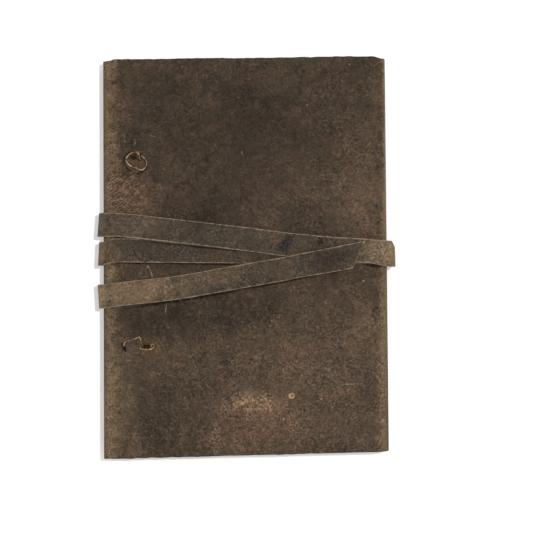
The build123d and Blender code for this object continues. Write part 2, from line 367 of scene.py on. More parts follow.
class Dye:
    """Draws one material's nodes, in millimetres on the object."""

    def __init__(self, name: str) -> None:
        """Starts a material.

        Args:
            name: The material's name.
        """
        self.material = bpy.data.materials.new(name)
        self.material.use_nodes = True
        self.tree = self.material.node_tree
        self.tree.nodes.clear()
        output = self.add("ShaderNodeOutputMaterial")
        self.shader = self.add("ShaderNodeBsdfPrincipled")
        self.tree.links.new(self.shader.outputs[0], output.inputs["Surface"])
        where = self.add("ShaderNodeTexCoord").outputs["Object"]
        self.place = self.vector("SCALE", where, scale=1.0 / MM)
        split = self.add("ShaderNodeSeparateXYZ")
        self.put(split.inputs[0], self.place)
        self.x, self.y, self.z = split.outputs[0], split.outputs[1], split.outputs[2]

    def add(self, kind: str, **settings: object) -> bpy.types.Node:
        """Adds one node.

        Args:
            kind: The node's type.
            settings: The node's own choices.

        Returns:
            The node.
        """
        node = self.tree.nodes.new(kind)
        for name, value in settings.items():
            setattr(node, name, value)
        return node

    def put(self, socket: Socket, value: Value) -> None:
        """Links a socket's value, or sets it where the value is plain.

        Args:
            socket: The input to fill.
            value: Another node's output, a number, a colour or a place.
        """
        if isinstance(value, Socket):
            self.tree.links.new(value, socket)
        elif isinstance(value, tuple) and len(value) == 3 and len(socket.default_value) == 4:
            socket.default_value = (*value, 1.0)
        else:
            socket.default_value = value

    def vector(self, work: str, first: Value, second: Value = (0, 0, 0), scale: float = 1.0) -> Socket:
        """Sums, multiplies or scales places.

        Args:
            work: The node's operation.
            first: The first place.
            second: The second place.
            scale: The factor of a scaling.

        Returns:
            The resulting place.
        """
        node = self.add("ShaderNodeVectorMath", operation=work)
        self.put(node.inputs[0], first)
        self.put(node.inputs[1], second)
        node.inputs[3].default_value = scale
        return node.outputs["Vector"]

    def attribute(self, name: str) -> Socket:
        """A value kept on the mesh's points."""
        return self.add("ShaderNodeAttribute", attribute_name=name).outputs["Fac"]

    def math(self, work: str, *values: Value) -> Socket:
        """Works out a sum of up to three values.

        Args:
            work: The node's operation.
            values: What it works on.

        Returns:
            The result.
        """
        node = self.add("ShaderNodeMath", operation=work)
        for socket, value in zip(node.inputs, (*values, 0.0, 0.0)):
            self.put(socket, value)
        return node.outputs[0]

    def plus(self, first: Value, second: Value) -> Socket:
        """One value and another."""
        return self.math("ADD", first, second)

    def less(self, first: Value, second: Value) -> Socket:
        """One value less another."""
        return self.math("SUBTRACT", first, second)

    def times(self, first: Value, second: Value) -> Socket:
        """One value times another."""
        return self.math("MULTIPLY", first, second)

    def step(self, value: Value, low: Value, high: Value, start: float = 0.0, end: float = 1.0) -> Socket:
        """Steps smoothly from one value to another.

        Args:
            value: What is compared.
            low: Where the step starts.
            high: Where the step ends.
            start: The result up to its start.
            end: The result from its end.

        Returns:
            The step's result.
        """
        node = self.add("ShaderNodeMapRange", interpolation_type="SMOOTHSTEP")
        for index, limit in enumerate((value, low, high, start, end)):
            self.put(node.inputs[index], limit)
        return node.outputs[0]

    def mottle(self, size: float, detail: float = 2.0, rough: float = 0.5, seed: float = 0.0,
               stretch: Place = (1.0, 1.0, 1.0), bend: float = 0.0) -> Socket:
        """Draws an even noise.

        Args:
            size: About how many millimetres its blotches are wide.
            detail: How many finer noises lie over it.
            rough: How strong those are.
            seed: How far it is shifted, so that noises differ.
            stretch: How its places are stretched first.
            bend: How far it is distorted.

        Returns:
            The noise, from 0 to 1.
        """
        node = self.add("ShaderNodeTexNoise")
        moved = self.vector("ADD", self.vector("MULTIPLY", self.place, stretch), (seed, seed * 2, -seed))
        self.put(node.inputs["Vector"], moved)
        node.inputs["Scale"].default_value = 1.0 / size
        node.inputs["Detail"].default_value = detail
        node.inputs["Roughness"].default_value = rough
        node.inputs["Distortion"].default_value = bend
        return node.outputs[0]

    def wander(self, spread: Value, *noise_values: float, seed: float) -> Socket:
        """A noise about zero that is this many units from its lowest to its highest."""
        return self.times(self.less(self.mottle(*noise_values, seed=seed), 0.5), spread)

    def blotches(self, low: float, high: float, *noise_values: float, **noise_settings: object) -> Socket:
        """A noise with its middle values spread out between two limits."""
        return self.step(self.mottle(*noise_values, **noise_settings), low, high)

    def cells(self, size: float, seed: float) -> Socket:
        """Draws a rounded cell pattern.

        Args:
            size: About how many millimetres a cell is wide.
            seed: How far it is shifted.

        Returns:
            The distance from each cell's middle.
        """
        node = self.add("ShaderNodeTexVoronoi", feature="SMOOTH_F1")
        moved = self.vector("ADD", self.vector("MULTIPLY", self.place, (1, 1, 1)), (seed, seed, seed))
        self.put(node.inputs["Vector"], moved)
        node.inputs["Scale"].default_value = 1.0 / size
        return node.outputs["Distance"]

    def blend(self, share: Value, under: Value, over: Value, mode: str = "MIX") -> Socket:
        """Lays one colour over another.

        Args:
            share: How much of it shows.
            under: The colour below.
            over: The colour on top.
            mode: How they mix.

        Returns:
            The resulting colour.
        """
        node = self.add("ShaderNodeMix", data_type="RGBA", blend_type=mode, clamp_factor=True)
        for index, value in ((0, share), (6, under), (7, over)):
            self.put(node.inputs[index], value)
        return node.outputs[2]

    def coat(self, spot: Value, strength: float, under: Value, over: Value) -> Socket:
        """Lays one colour over another where a spot lies, with part of the spot's strength."""
        return self.blend(self.times(spot, strength), under, over)

    def patch(self, at: Spot, size: Spot, turn: float, soft: float, side: Side = Side.FRONT,
              broken: float = 0.0, grain: float = 6.0, rim: float = 0.0) -> Socket:
        """A soft oval mark on the book, from 0 to 1.

        Args:
            at: The mark's middle, in millimetres.
            size: Its half length and half width.
            turn: Its turn in degrees.
            soft: The share of its radius over which it fades.
            side: Where on the book's thickness it shows.
            broken: How far noise breaks its outline, as a share of its radius.
            grain: The size of that noise.
            rim: The half width of its outline, where only the outline is marked.

        Returns:
            The mark's strength at each point.
        """
        cosine, sine = math.cos(math.radians(turn)), math.sin(math.radians(turn))
        squares = []
        for (along_x, along_y), half in (((cosine, sine), size[0]), ((-sine, cosine), size[1])):
            start = -(at[0] * along_x + at[1] * along_y) / half
            part = self.math("MULTIPLY_ADD", self.x, along_x / half, start)
            part = self.math("MULTIPLY_ADD", self.y, along_y / half, part)
            squares.append(self.times(part, part))
        reach = self.math("SQRT", self.plus(*squares))
        if broken:
            # All marks share one seed: a material with many noises of its own turns black
            uneven = self.less(self.mottle(grain, 3.0, 0.6, seed=MARK_SEED), 0.5)
            reach = self.plus(reach, self.times(uneven, broken * 4))
        if rim:
            reach = self.plus(self.math("ABSOLUTE", self.less(reach, 1.0)), 1.0 - rim)
        mark = self.step(reach, 1.0, 1.0 - (rim or soft))
        if side is Side.FRONT:
            mark = self.times(mark, self.step(self.z, *FRONT_HALF))
        return mark

    def finish(self, colour: Value, rough: Value, gloss: float, relief: Socket | None = None,
               depth: float = 0.1, sheen: float = 0.0) -> bpy.types.Material:
        """Sets the shader and gives the material.

        Args:
            colour: The base colour.
            rough: The roughness.
            gloss: The specular level.
            relief: The height of the surface, from 0 to 1.
            depth: How high that relief is, in millimetres.
            sheen: The weight of a soft sheen.

        Returns:
            The material.
        """
        self.put(self.shader.inputs["Base Color"], colour)
        self.put(self.shader.inputs["Roughness"], rough)
        self.shader.inputs["Specular IOR Level"].default_value = gloss
        self.shader.inputs["Sheen Weight"].default_value = sheen
        if relief is not None:
            bump = self.add("ShaderNodeBump")
            bump.inputs["Strength"].default_value = 1.0
            bump.inputs["Distance"].default_value = depth * MM
            self.put(bump.inputs["Height"], relief)
            self.put(self.shader.inputs["Normal"], bump.outputs[0])
        return self.material


def dimmed(share: float, colour: Colour) -> Colour:
    """A colour times one factor."""
    return tuple(share * part for part in colour)


@dataclass(frozen=True)
class Mark:
    """A stain, worn spot or scratch on the book's front, or painted shadow or light laid there as colour.
    """

    at: Spot
    size: Spot
    colour: Colour
    strength: float
    turn: float = 0.0
    soft: float = 0.6
    broken: float = 0.0
    grain: float = 6.0
    flecks: float = 0.0
    rim: float = 0.0

    def cover(self, dye: Dye) -> Socket:
        """Draws the mark's oval.

        Args:
            dye: The nodes of the material that bears it.

        Returns:
            How strongly the mark covers each point.
        """
        spot = dye.patch(self.at, self.size, self.turn, self.soft, Side.FRONT, self.broken, self.grain,
                         self.rim)
        return dye.times(spot, self.strength)


@dataclass(frozen=True)
class Finish(ABC):
    """What one kind of a piece's faces is dressed in."""

    name: str

    @abstractmethod
    def make(self) -> bpy.types.Material:
        """Draws the finish and gives its material."""


def dress_with(piece: Piece, *finishes: Finish) -> None:
    """Gives a piece its finishes, in place of the blank ones where it has those.

    Args:
        piece: The mesh object.
        finishes: One finish for each kind of face.
    """
    slots = piece.data.materials
    for index, finish in enumerate(finishes):
        if index < len(slots):
            slots[index] = finish.make()
        else:
            slots.append(finish.make())


@dataclass(frozen=True)
class WornLeather(Finish):
    """Waxed brown leather with uneven dye, fine grain, worn edges that are partly painted highlights, and
    creases with painted highlights and shade.
    """

    dark: Colour
    middle: Colour
    light: Colour
    worn: Colour
    rubbed: float = 0.30
    grain_depth: float = 0.16
    gloss: float = 0.14
    roughness: float = 0.72
    fleck: float = 0.50
    fleck_size: float = 1.5
    spine_edge: float = 64.4
    fore_edge: Spot = (62.6, 0.0112)
    back_face: Spot = (3.43, 0.0258)
    marks: tuple[Mark, ...] = ()
    cover: bool = False
    bordered: bool = False

    def make(self) -> bpy.types.Material:
        """Draws the finish.

        Returns:
            The material.
        """
        dye = Dye(self.name)
        colour = self.ground(dye)
        rub = dye.step(dye.mottle(11.0, 3.0, 0.6, seed=47.0), 0.34, 0.68, 0.0, self.rubbed * 2)
        if self.cover:
            calm = dye.patch((-2.0, 52.0), (54.0, 44.0), 0.0, 0.7)
            rub = dye.times(rub, dye.less(1.0, dye.times(calm, 0.65)))
            low = dye.patch((16.0, -58.0), (74.0, 52.0), 0.0, 0.8)
            rub = dye.plus(rub, dye.times(low, 0.35))
            spine, fore, rim = self.edges(dye)
            rub = dye.plus(rub, dye.times(dye.plus(spine, fore), 0.45))
            colour = dye.coat(spine, 0.78, colour, self.worn)
            # Pale fore-edge: partly rubbed leather, partly a painted highlight on its curve
            colour = dye.coat(fore, 0.80, colour, self.worn)
            wrinkle, where = self.creases(dye)
        colour = self.flecked(dye, colour, rub)
        if self.cover:
            # Painted highlight on the creases' ridges and painted shade in their folds
            ridge_highlight = dye.times(dye.step(wrinkle, 0.51, 0.64), where)
            colour = dye.coat(ridge_highlight, 0.60, colour, (0.270, 0.168, 0.108))
            folds = dye.times(dye.step(wrinkle, 0.48, 0.36), where)
            colour = dye.coat(folds, 0.62, colour, (0.026, 0.017, 0.010))
            # Paler still along the fore-edge's very bend: partly rubbing, partly a painted highlight
            colour = dye.coat(rim, 0.72, colour, (0.320, 0.225, 0.150))
        fine = dye.mottle(0.85, 3.0, 0.72, seed=21.0)
        power = dye.plus(dye.times(rub, 3.0), 1.6)
        speckle = dye.times(dye.less(fine, 0.5), power)
        speckle = dye.math("MAXIMUM", dye.plus(speckle, 1.0), 0.3)
        colour = dye.vector("MULTIPLY", colour, speckle)
        # Pale line along the strap's border: partly rubbed leather, partly a painted highlight on the
        # rounded edge
        if self.bordered:
            uneven = dye.wander(1.3, 2.0, 4.0, 0.7, seed=51.0)
            line = dye.step(dye.plus(dye.attribute("rim"), uneven), 0.62, 0.98)
            colour = dye.coat(line, 0.78, colour, (0.340, 0.256, 0.174))
        relief = dye.times(dye.cells(0.9, 8.0), 0.55)
        relief = dye.plus(relief, dye.times(fine, 0.8))
        relief = dye.plus(relief, dye.times(dye.mottle(3.2, 3.0, 0.55, seed=2.0), 0.9))
        if self.cover:
            relief = dye.plus(relief, dye.times(dye.times(wrinkle, where), 3.0))
        waxed = dye.mottle(7.0, 3.0, 0.6, seed=13.0)
        rough = dye.step(waxed, 0.3, 0.7, self.roughness - 0.08, self.roughness + 0.1)
        return dye.finish(colour, rough, self.gloss, relief, self.grain_depth)

    def ground(self, dye: Dye) -> Socket:
        """Dyes the leather unevenly and lays its stains and its marks of painted shadow and light.

        Args:
            dye: The material's nodes.

        Returns:
            The colour.
        """
        cloudy = dye.blotches(0.36, 0.64, 26.0, 4.0, 0.62)
        blotchy = dye.blotches(0.42, 0.62, 5.0, 5.0, 0.68, seed=4.0, bend=0.5)
        colour = dye.blend(cloudy, self.dark, self.middle)
        colour = dye.coat(blotchy, 0.5, colour, self.middle)
        for mark in self.marks:
            if not mark.flecks:
                colour = dye.blend(mark.cover(dye), colour, mark.colour)
        tint = dye.mottle(7.0, 5.0, 0.62, seed=43.0)
        colour = dye.blend(dye.step(tint, 0.51, 0.66), colour, (1.08, 0.98, 0.94), "MULTIPLY")
        colour = dye.blend(dye.step(tint, 0.48, 0.35), colour, (0.86, 0.89, 0.84), "MULTIPLY")
        smear = dye.mottle(2.9, 4.0, 0.60, seed=71.0, bend=1.4)
        colour = dye.blend(dye.step(smear, 0.52, 0.66), colour, (1.46, 1.42, 1.36), "MULTIPLY")
        return dye.blend(dye.step(smear, 0.48, 0.34), colour, (0.68, 0.68, 0.70), "MULTIPLY")

    def flecked(self, dye: Dye, colour: Socket, rub: Socket) -> Socket:
        """Adds pale flecks and dark pits where the leather is rubbed, and the marks that are all flecks.

        Args:
            dye: The material's nodes.
            colour: The leather's colour.
            rub: How rubbed it is.

        Returns:
            The flecked colour.
        """
        flecks = dye.blotches(0.50, 0.70, self.fleck_size, 4.0, 0.68, seed=FLECK_SEED)
        colour = dye.coat(dye.times(flecks, rub), self.fleck, colour, self.light)
        pits = dye.blotches(0.55, 0.66, 1.35, 4.0, 0.72, seed=19.0)
        colour = dye.coat(dye.times(pits, rub), 0.75, colour, dimmed(0.55, self.dark))
        for mark in self.marks:
            if mark.flecks:
                speck = dye.blotches(0.49, 0.60, mark.flecks, 3.0, 0.7, seed=FLECK_SEED)
                colour = dye.blend(dye.times(speck, mark.cover(dye)), colour, mark.colour)
        return colour

    def edges(self, dye: Dye) -> tuple[Socket, Socket, Socket]:
        """Finds the cover's edges that hands have rubbed pale; the fore-edge and its very bend are also
        painted pale as a highlight where the leather curves.

        Args:
            dye: The material's nodes.

        Returns:
            How rubbed the spine is, and how pale the fore-edge and its very bend are, partly rubbed and
            partly painted highlight.
        """
        uneven = dye.wander(17.0, 5.0, 5.0, 0.66, seed=31.0)
        from_spine = dye.plus(dye.plus(dye.x, self.spine_edge), uneven)
        spine = dye.step(from_spine, 8.2, 0.2)
        narrow = dye.wander(2.4, 2.2, 4.0, 0.65, seed=37.0)
        reach = dye.step(dye.y, 60.0, -80.0, 1.9, 5.0)
        edge = dye.less(self.fore_edge[0], dye.times(dye.y, self.fore_edge[1]))
        inside = dye.less(edge, dye.x)
        fore = dye.step(dye.plus(dye.math("DIVIDE", inside, reach), narrow), 1.35, 0.2)
        rim = dye.step(dye.plus(inside, dye.times(narrow, 0.4)), 1.5, 0.4)
        # The height over the tilted book's own back cover
        level = dye.less(dye.z, dye.plus(dye.times(dye.x, self.back_face[1]), self.back_face[0]))
        front = dye.step(dye.plus(level, narrow), 12.5, 16.9)
        back = dye.step(dye.plus(level, narrow), 2.6, 0.6)
        bends = dye.plus(front, dye.times(back, 0.7))
        bends = dye.plus(dye.times(bends, 0.86), 0.14)
        return dye.times(spine, bends), dye.times(fore, bends), dye.times(rim, bends)

    def creases(self, dye: Dye) -> tuple[Socket, Socket]:
        """Draws the slanting creases between the upper tie and the strap.

        Args:
            dye: The material's nodes.

        Returns:
            Their height, and where on the cover they are.
        """
        mapping = dye.add("ShaderNodeMapping", vector_type="TEXTURE")
        dye.put(mapping.inputs["Vector"], dye.place)
        mapping.inputs["Rotation"].default_value = (0, 0, math.radians(30))
        mapping.inputs["Scale"].default_value = (2.2, 0.60, 3.0)
        wrinkle = dye.add("ShaderNodeTexNoise")
        dye.put(wrinkle.inputs["Vector"], mapping.outputs[0])
        wrinkle.inputs["Scale"].default_value = 1.0
        wrinkle.inputs["Detail"].default_value = 2.0
        wrinkle.inputs["Distortion"].default_value = 0.50
        where = dye.patch((-55.0, 30.5), (14.0, 18.0), -20.0, 0.85, Side.FRONT, 0.30, 6.0)
        higher = dye.patch((-58.0, 58.0), (6.0, 8.5), 0.0, 0.9, Side.FRONT, 0.30, 5.0)
        where = dye.math("MAXIMUM", where, dye.times(higher, 0.55))
        return wrinkle.outputs[0], where


@dataclass(frozen=True)
class CutEdge(Finish):
    """The raw edge of cut leather: paler fibres with dye soaked in unevenly."""

    pale: Colour
    soaked: Colour

    def make(self) -> bpy.types.Material:
        """Draws the finish.

        Returns:
            The material.
        """
        dye = Dye(self.name)
        fibres = dye.blotches(0.35, 0.65, 0.5, 4.0, 0.7, seed=5.0)
        soak = dye.blotches(0.38, 0.62, 7.0, 3.0, 0.6, seed=6.0)
        colour = dye.blend(soak, self.pale, self.soaked)
        colour = dye.coat(fibres, 0.4, colour, dimmed(0.55, self.soaked))
        return dye.finish(colour, 0.85, 0.2, dye.mottle(0.35, 3.0, 0.7), 0.12)


@dataclass(frozen=True)
class FleshSide(Finish):
    """The napped inner face of the leather."""

    colour: Colour

    def make(self) -> bpy.types.Material:
        """Draws the finish.

        Returns:
            The material.
        """
        dye = Dye(self.name)
        nap = dye.mottle(0.8, 5.0, 0.75, seed=12.0)
        cloudy = dye.blotches(0.35, 0.65, 12.0, 3.0, 0.6, seed=14.0)
        colour = dye.blend(cloudy, self.colour, dimmed(0.78, self.colour))
        colour = dye.blend(dye.step(nap, 0.4, 0.7), colour, dimmed(1.2, self.colour))
        return dye.finish(colour, 0.92, 0.15, nap, 0.2, sheen=0.15)


@dataclass(frozen=True)
class HandmadePaper(Finish):
    """Heavy cream paper with soft fibres and darker edges, and painted shade under the ties' holes and
    slits.
    """

    cream: Colour
    edge: Colour
    # Painted shade: dark spots on the paper under the ties' holes and slits
    soaked: tuple[tuple[Spot, Spot], ...] = (
        ((-44.6, -39.4), (4.6, 2.4)), ((-54.4, -40.1), (2.2, 3.6)), ((-47.1, 44.8), (2.4, 2.6)))

    def make(self) -> bpy.types.Material:
        """Draws the finish.

        Returns:
            The material.
        """
        dye = Dye(self.name)
        cloudy = dye.blotches(0.35, 0.65, 14.0, 4.0, 0.6, seed=2.0)
        leafy = dye.blotches(0.3, 0.7, 3.0, 3.0, 0.6, seed=3.0, stretch=(0.3, 0.3, 12.0))
        colour = dye.coat(cloudy, 0.5, self.cream, self.edge)
        colour = dye.coat(leafy, 0.45, colour, self.edge)
        fibres = dye.mottle(0.4, 4.0, 0.7, seed=8.0)
        colour = dye.blend(dye.step(fibres, 0.62, 0.8), colour, dimmed(0.8, self.edge))
        # Painted shade under the ties' holes and slits
        for at, size in self.soaked:
            colour = dye.blend(dye.patch(at, size, 0.0, 0.4, Side.BOTH), colour, (0.030, 0.018, 0.010))
        return dye.finish(colour, 0.9, 0.2, fibres, 0.05)


@dataclass(frozen=True)
class WaxedCord(Finish):
    """Twisted waxed thread, painted in uneven patches of a lit colour and a shaded copy of it."""

    # thread is the cord's lit colour, shaded its painted shade
    thread: Colour
    shaded: Colour
    roughness: float = 0.42
    gloss: float = 0.5

    def make(self) -> bpy.types.Material:
        """Draws the finish.

        Returns:
            The material.
        """
        dye = Dye(self.name)
        # Painted light and shade: uneven patches of the lit and the shaded colour along the cord
        uneven = dye.blotches(0.40, 0.60, 1.5, 3.0, 0.6, seed=3.0)
        colour = dye.blend(uneven, self.thread, self.shaded)
        fibres = dye.mottle(0.12, 3.0, 0.7, seed=7.0)
        colour = dye.blend(dye.step(fibres, 0.5, 0.75), colour, dimmed(1.25, self.thread))
        return dye.finish(colour, self.roughness, self.gloss, fibres, 0.05)


# Each mark's middle, half sizes, colour and strength, then its turn in degrees, the share over which it
# fades, how broken its outline is, the grain of that, the size of its flecks and its rim's half width
COVER_MARKS = tuple(Mark(*row) for row in (
    ((4, -52), (72, 50), (0.086, 0.058, 0.038), 0.42, 0, 0.7, 0.2, 14),
    ((51, 27), (26, 27), (0.150, 0.100, 0.062), 0.50, 0, 0.9, 0.4, 9),
    ((56, -32), (17, 19), (0.160, 0.106, 0.066), 0.52, 0, 0.9, 0.4, 8),
    ((43, -79), (26, 14), (0.120, 0.080, 0.052), 0.38, 0, 0.9, 0.4, 8),
    ((38, 79), (30, 16), (0.026, 0.019, 0.014), 0.40, 0, 0.9, 0.4, 9),
    ((-36, 77), (30, 16), (0.026, 0.019, 0.014), 0.32, 0, 0.9, 0.4, 9),
    ((-45, -28.5), (20, 13), (0.024, 0.018, 0.013), 0.42, 0, 0.9, 0.4, 7),
    ((-6, 58), (56, 38), (0.027, 0.020, 0.014), 0.66, -6, 0.9, 0.25, 18),
    ((-39, 67), (17, 19), (0.022, 0.019, 0.013), 0.50, 8, 0.9, 0.4, 7),
    ((-14, 25), (38, 20), (0.027, 0.020, 0.015), 0.55, 10, 0.9, 0.4, 10),
    ((45, 42), (17, 40), (0.088, 0.056, 0.037), 0.30, 0, 0.9, 0.5, 9),
    ((-18, -28), (56, 15), (0.024, 0.018, 0.013), 0.66, 4, 0.9, 0.5, 8),
    ((-34, -68), (20, 18), (0.038, 0.028, 0.019), 0.35, 0, 0.9, 0.5, 8),
    ((26, -56), (46, 38), (0.118, 0.076, 0.048), 0.48, 0, 0.9, 0.4, 9),
    ((-52, 27), (15, 18), (0.140, 0.080, 0.050), 0.66, 10, 0.8, 0.5, 4),
    ((4.5, -73.5), (26, 19), (0.120, 0.068, 0.043), 0.56, 10, 0.8, 0.5, 4),
    ((-57, -62), (11, 34), (0.150, 0.106, 0.062), 0.52, 0, 0.9, 0.5, 4),
    ((-51, 42), (9, 8), (0.088, 0.050, 0.022), 0.55, 0, 0.9, 0.3, 3),
    ((-43.4, -39.2), (6.4, 5.4), (0.110, 0.060, 0.020), 0.72, 0, 0.9, 0.3, 3),
    # Painted shadow of the upper tie's ring: a dark outline set down and to the left of the cord
    ((-50, 42.5), (5.3, 4.3), (0.004, 0.003, 0.002), 0.95, -32, 0.6, 0.04, 2, 0, 0.17),
    ((-51, 44.9), (2.6, 1.5), (0.006, 0.004, 0.003), 0.92, 20, 0.8, 0.3, 1.2),
    # Painted shadows: dark lines on the cover under the strap's lower edges and under its turn at the
    # fore-edge
    ((-56.5, 8.9), (9.5, 0.9), (0.006, 0.004, 0.003), 0.85, -4, 0.5, 0.05, 2),
    ((-60, -2.7), (5.2, 1), (0.006, 0.004, 0.003), 0.88, 12, 0.6, 0.05, 2),
    ((-49, -2), (11, 1.1), (0.006, 0.004, 0.003), 0.88, -1, 0.6, 0.05, 2),
    ((-20, -2.4), (30, 1), (0.006, 0.004, 0.003), 0.88, -0.8, 0.6, 0.05, 2),
    ((-28, -18.4), (33, 1.1), (0.005, 0.003, 0.002), 0.90, 9, 0.6, 0.05, 2),
    ((18, -9.9), (28, 1.1), (0.005, 0.003, 0.002), 0.85, 11.4, 0.6, 0.05, 2),
    ((56.5, -3.6), (7, 0.8), (0.006, 0.004, 0.003), 0.85, -8, 0.6),
    # Painted shade at the lower tie's slits and inside its hook
    ((-55.3, -39.7), (1, 2.9), (0.012, 0.008, 0.005), 0.80, 18, 0.8, 0.3, 1.2),
    ((-45.3, -39.3), (4.6, 1.9), (0.016, 0.010, 0.006), 0.70, 0, 0.8, 0.3, 1.6),
    ((-57.1, -69), (1, 0.9), (0.012, 0.009, 0.006), 0.80, 0, 0.7),
    ((3.5, -64.5), (13, 6), (0.180, 0.116, 0.070), 0.35, -4, 0.9, 0.3, 3),
    ((3, -64.3), (16, 6.6), (0.450, 0.296, 0.160), 0.92, -4, 0.9, 0.3, 4, 1),
    ((6, -66.5), (21, 10), (0.230, 0.140, 0.085), 0.60, 0, 0.9, 0.3, 4, 1.1),
    ((9, -74), (18, 12), (0.190, 0.105, 0.065), 0.45, 0, 0.9, 0.3, 4, 1.3),
    ((-10, -68), (7, 7), (0.290, 0.190, 0.115), 0.65, 0, 0.9, 0.3, 3, 1),
    ((-14, -80.5), (6, 11), (0.280, 0.185, 0.120), 0.75, 0, 0.9, 0.3, 3, 1),
    ((-4.5, -82), (4.5, 8), (0.260, 0.170, 0.110), 0.60, 0, 0.9, 0.3, 3, 1),
    ((19.7, -61.4), (1.8, 1.7), (0.520, 0.320, 0.180), 0.80, 0, 0.5, 0.15, 1.2),
    ((20, -61.2), (0.6, 0.7), (0.020, 0.012, 0.008), 0.9, 0, 0.5),
    ((20.6, -74.5), (4.6, 6.5), (0.300, 0.200, 0.125), 0.75, 0, 0.8, 0.4, 1, 0.8),
    ((16.2, -71.7), (0.9, 1.1), (0.400, 0.290, 0.220), 0.65, 0, 0.8, 0.5, 0.8),
    ((32.9, -62.6), (0.6, 0.8), (0.320, 0.240, 0.170), 0.65, 0, 0.8, 0.4, 0.8),
    ((60.7, -72.4), (0.9, 1.3), (0.420, 0.320, 0.210), 0.65, 0, 0.8, 0.4, 0.8),
    ((51.7, -10.2), (0.9, 0.6), (0.420, 0.320, 0.230), 0.70, 0, 0.8, 0.3, 0.8),
    ((57.6, -54.7), (0.8, 0.9), (0.014, 0.009, 0.006), 0.80, 0, 0.8),
    ((46.8, -56.1), (6.4, 0.5), (0.200, 0.155, 0.110), 0.70, 2, 0.5, 0.1, 1.6),
    ((57.3, -24.5), (1.6, 2.3), (0.016, 0.011, 0.007), 0.75, 0, 0.6, 0.15, 1.4, 0, 0.35),
    ((57.5, 23.1), (0.9, 1.1), (0.014, 0.010, 0.007), 0.70, 0, 0.8, 0.3, 1),
    ((56.4, 19.8), (0.8, 0.9), (0.014, 0.010, 0.007), 0.65, 0, 0.8, 0.3, 1),
    ((58.4, 15.9), (0.9, 1.2), (0.014, 0.010, 0.007), 0.70, 0, 0.8, 0.3, 1),
    ((33.1, 15.8), (1.9, 1.3), (0.018, 0.013, 0.009), 0.65, 0, 0.9, 0.4, 1.2),
    ((49.2, 15.6), (1.3, 0.9), (0.018, 0.013, 0.009), 0.60, 0, 0.9, 0.4, 1.2),
    ((20.8, -13.6), (0.4, 1.5), (0.250, 0.190, 0.130), 0.60, 20, 0.8, 0.3, 0.8),
    ((34.6, -20), (1.2, 1.7), (0.130, 0.100, 0.075), 0.55, -30, 0.9, 0.3, 1.2),
    ((-44, -4.2), (0.32, 1.9), (0.300, 0.215, 0.130), 0.85, 33, 0.7),
    ((-42.6, -7.2), (0.32, 2.3), (0.300, 0.215, 0.130), 0.85, 17, 0.7),
    ((-36.2, -22.5), (0.34, 3.1), (0.250, 0.185, 0.125), 0.75, -9, 0.7),
    ((-42.2, 54.3), (1.9, 0.45), (0.210, 0.150, 0.115), 0.60, -14, 0.8, 0.4, 0.8),
    ((-50, 51.6), (0.5, 2), (0.170, 0.130, 0.090), 0.50, -6, 0.8, 0.4, 0.8),
    ((-2.4, 46.7), (0.5, 1.2), (0.220, 0.175, 0.130), 0.65, 0, 0.8, 0.3, 0.6),
    ((45.3, 86.1), (0.7, 0.6), (0.260, 0.200, 0.150), 0.7, 0, 0.6),
    ((26.6, 68.1), (0.5, 0.7), (0.220, 0.165, 0.125), 0.6, 0, 0.7),
    ((-38.5, 31), (0.6, 2.2), (0.140, 0.100, 0.070), 0.5, 12, 0.8, 0.4, 0.8),
))
STRAP_MARKS = tuple(Mark(*row) for row in (
    ((-50, -15), (30, 10), (0.215, 0.142, 0.082), 0.72, 8, 0.8, 0.3, 5),
    ((-16, -9), (26, 8), (0.140, 0.094, 0.058), 0.50, 10, 0.9, 0.3, 5),
    ((59, 2), (12.5, 9), (0.200, 0.140, 0.084), 0.72, 0, 0.6, 0.3, 4),
    ((-60, 2), (8, 6), (0.130, 0.092, 0.060), 0.55, 0, 0.8, 0.3, 4),
    ((-52, 14), (20, 8), (0.118, 0.088, 0.062), 0.52, 0, 0.8, 0.3, 4),
    ((-12, 9), (26, 8), (0.046, 0.040, 0.028), 0.50, -6, 0.9, 0.3, 5),
    ((-36, 2.5), (30, 7), (0.050, 0.038, 0.029), 0.55, 0, 0.9, 0.3, 5),
    # Lighter turns at the strap's ends: partly pale rubbed leather, partly painted light lifting the shade
    # on their steep sides
    ((-65.4, 15.4), (3.4, 8), (0.150, 0.115, 0.082), 0.60, 0, 0.8, 0.2, 2),
    ((-65.4, 2.4), (3, 8), (0.200, 0.140, 0.088), 0.80, 0, 0.7, 0.2, 2),
    ((-65.6, -17), (4.6, 9), (0.290, 0.200, 0.125), 0.80, 0, 0.8, 0.2, 2),
    ((64.6, 1.8), (5.4, 9), (0.255, 0.178, 0.106), 0.75, 0, 0.7, 0.2, 2),
    # Painted shadow on the middle pass, under the upper pass's lower edge
    ((-22, 4.95), (36, 0.6), (0.008, 0.006, 0.004), 0.85, -5.4, 0.6, 0.05, 2),
    ((17, 6.4), (7.2, 3.8), (0.014, 0.015, 0.019), 0.95, 45, 0.8, 0.1, 2.5),
    ((32.6, 7.7), (2, 2.8), (0.016, 0.012, 0.009), 0.88, -10, 0.8, 0.3, 1.6),
    ((36, -0.4), (19, 6), (0.034, 0.024, 0.018), 0.75, 11, 0.8, 0.3, 5),
))


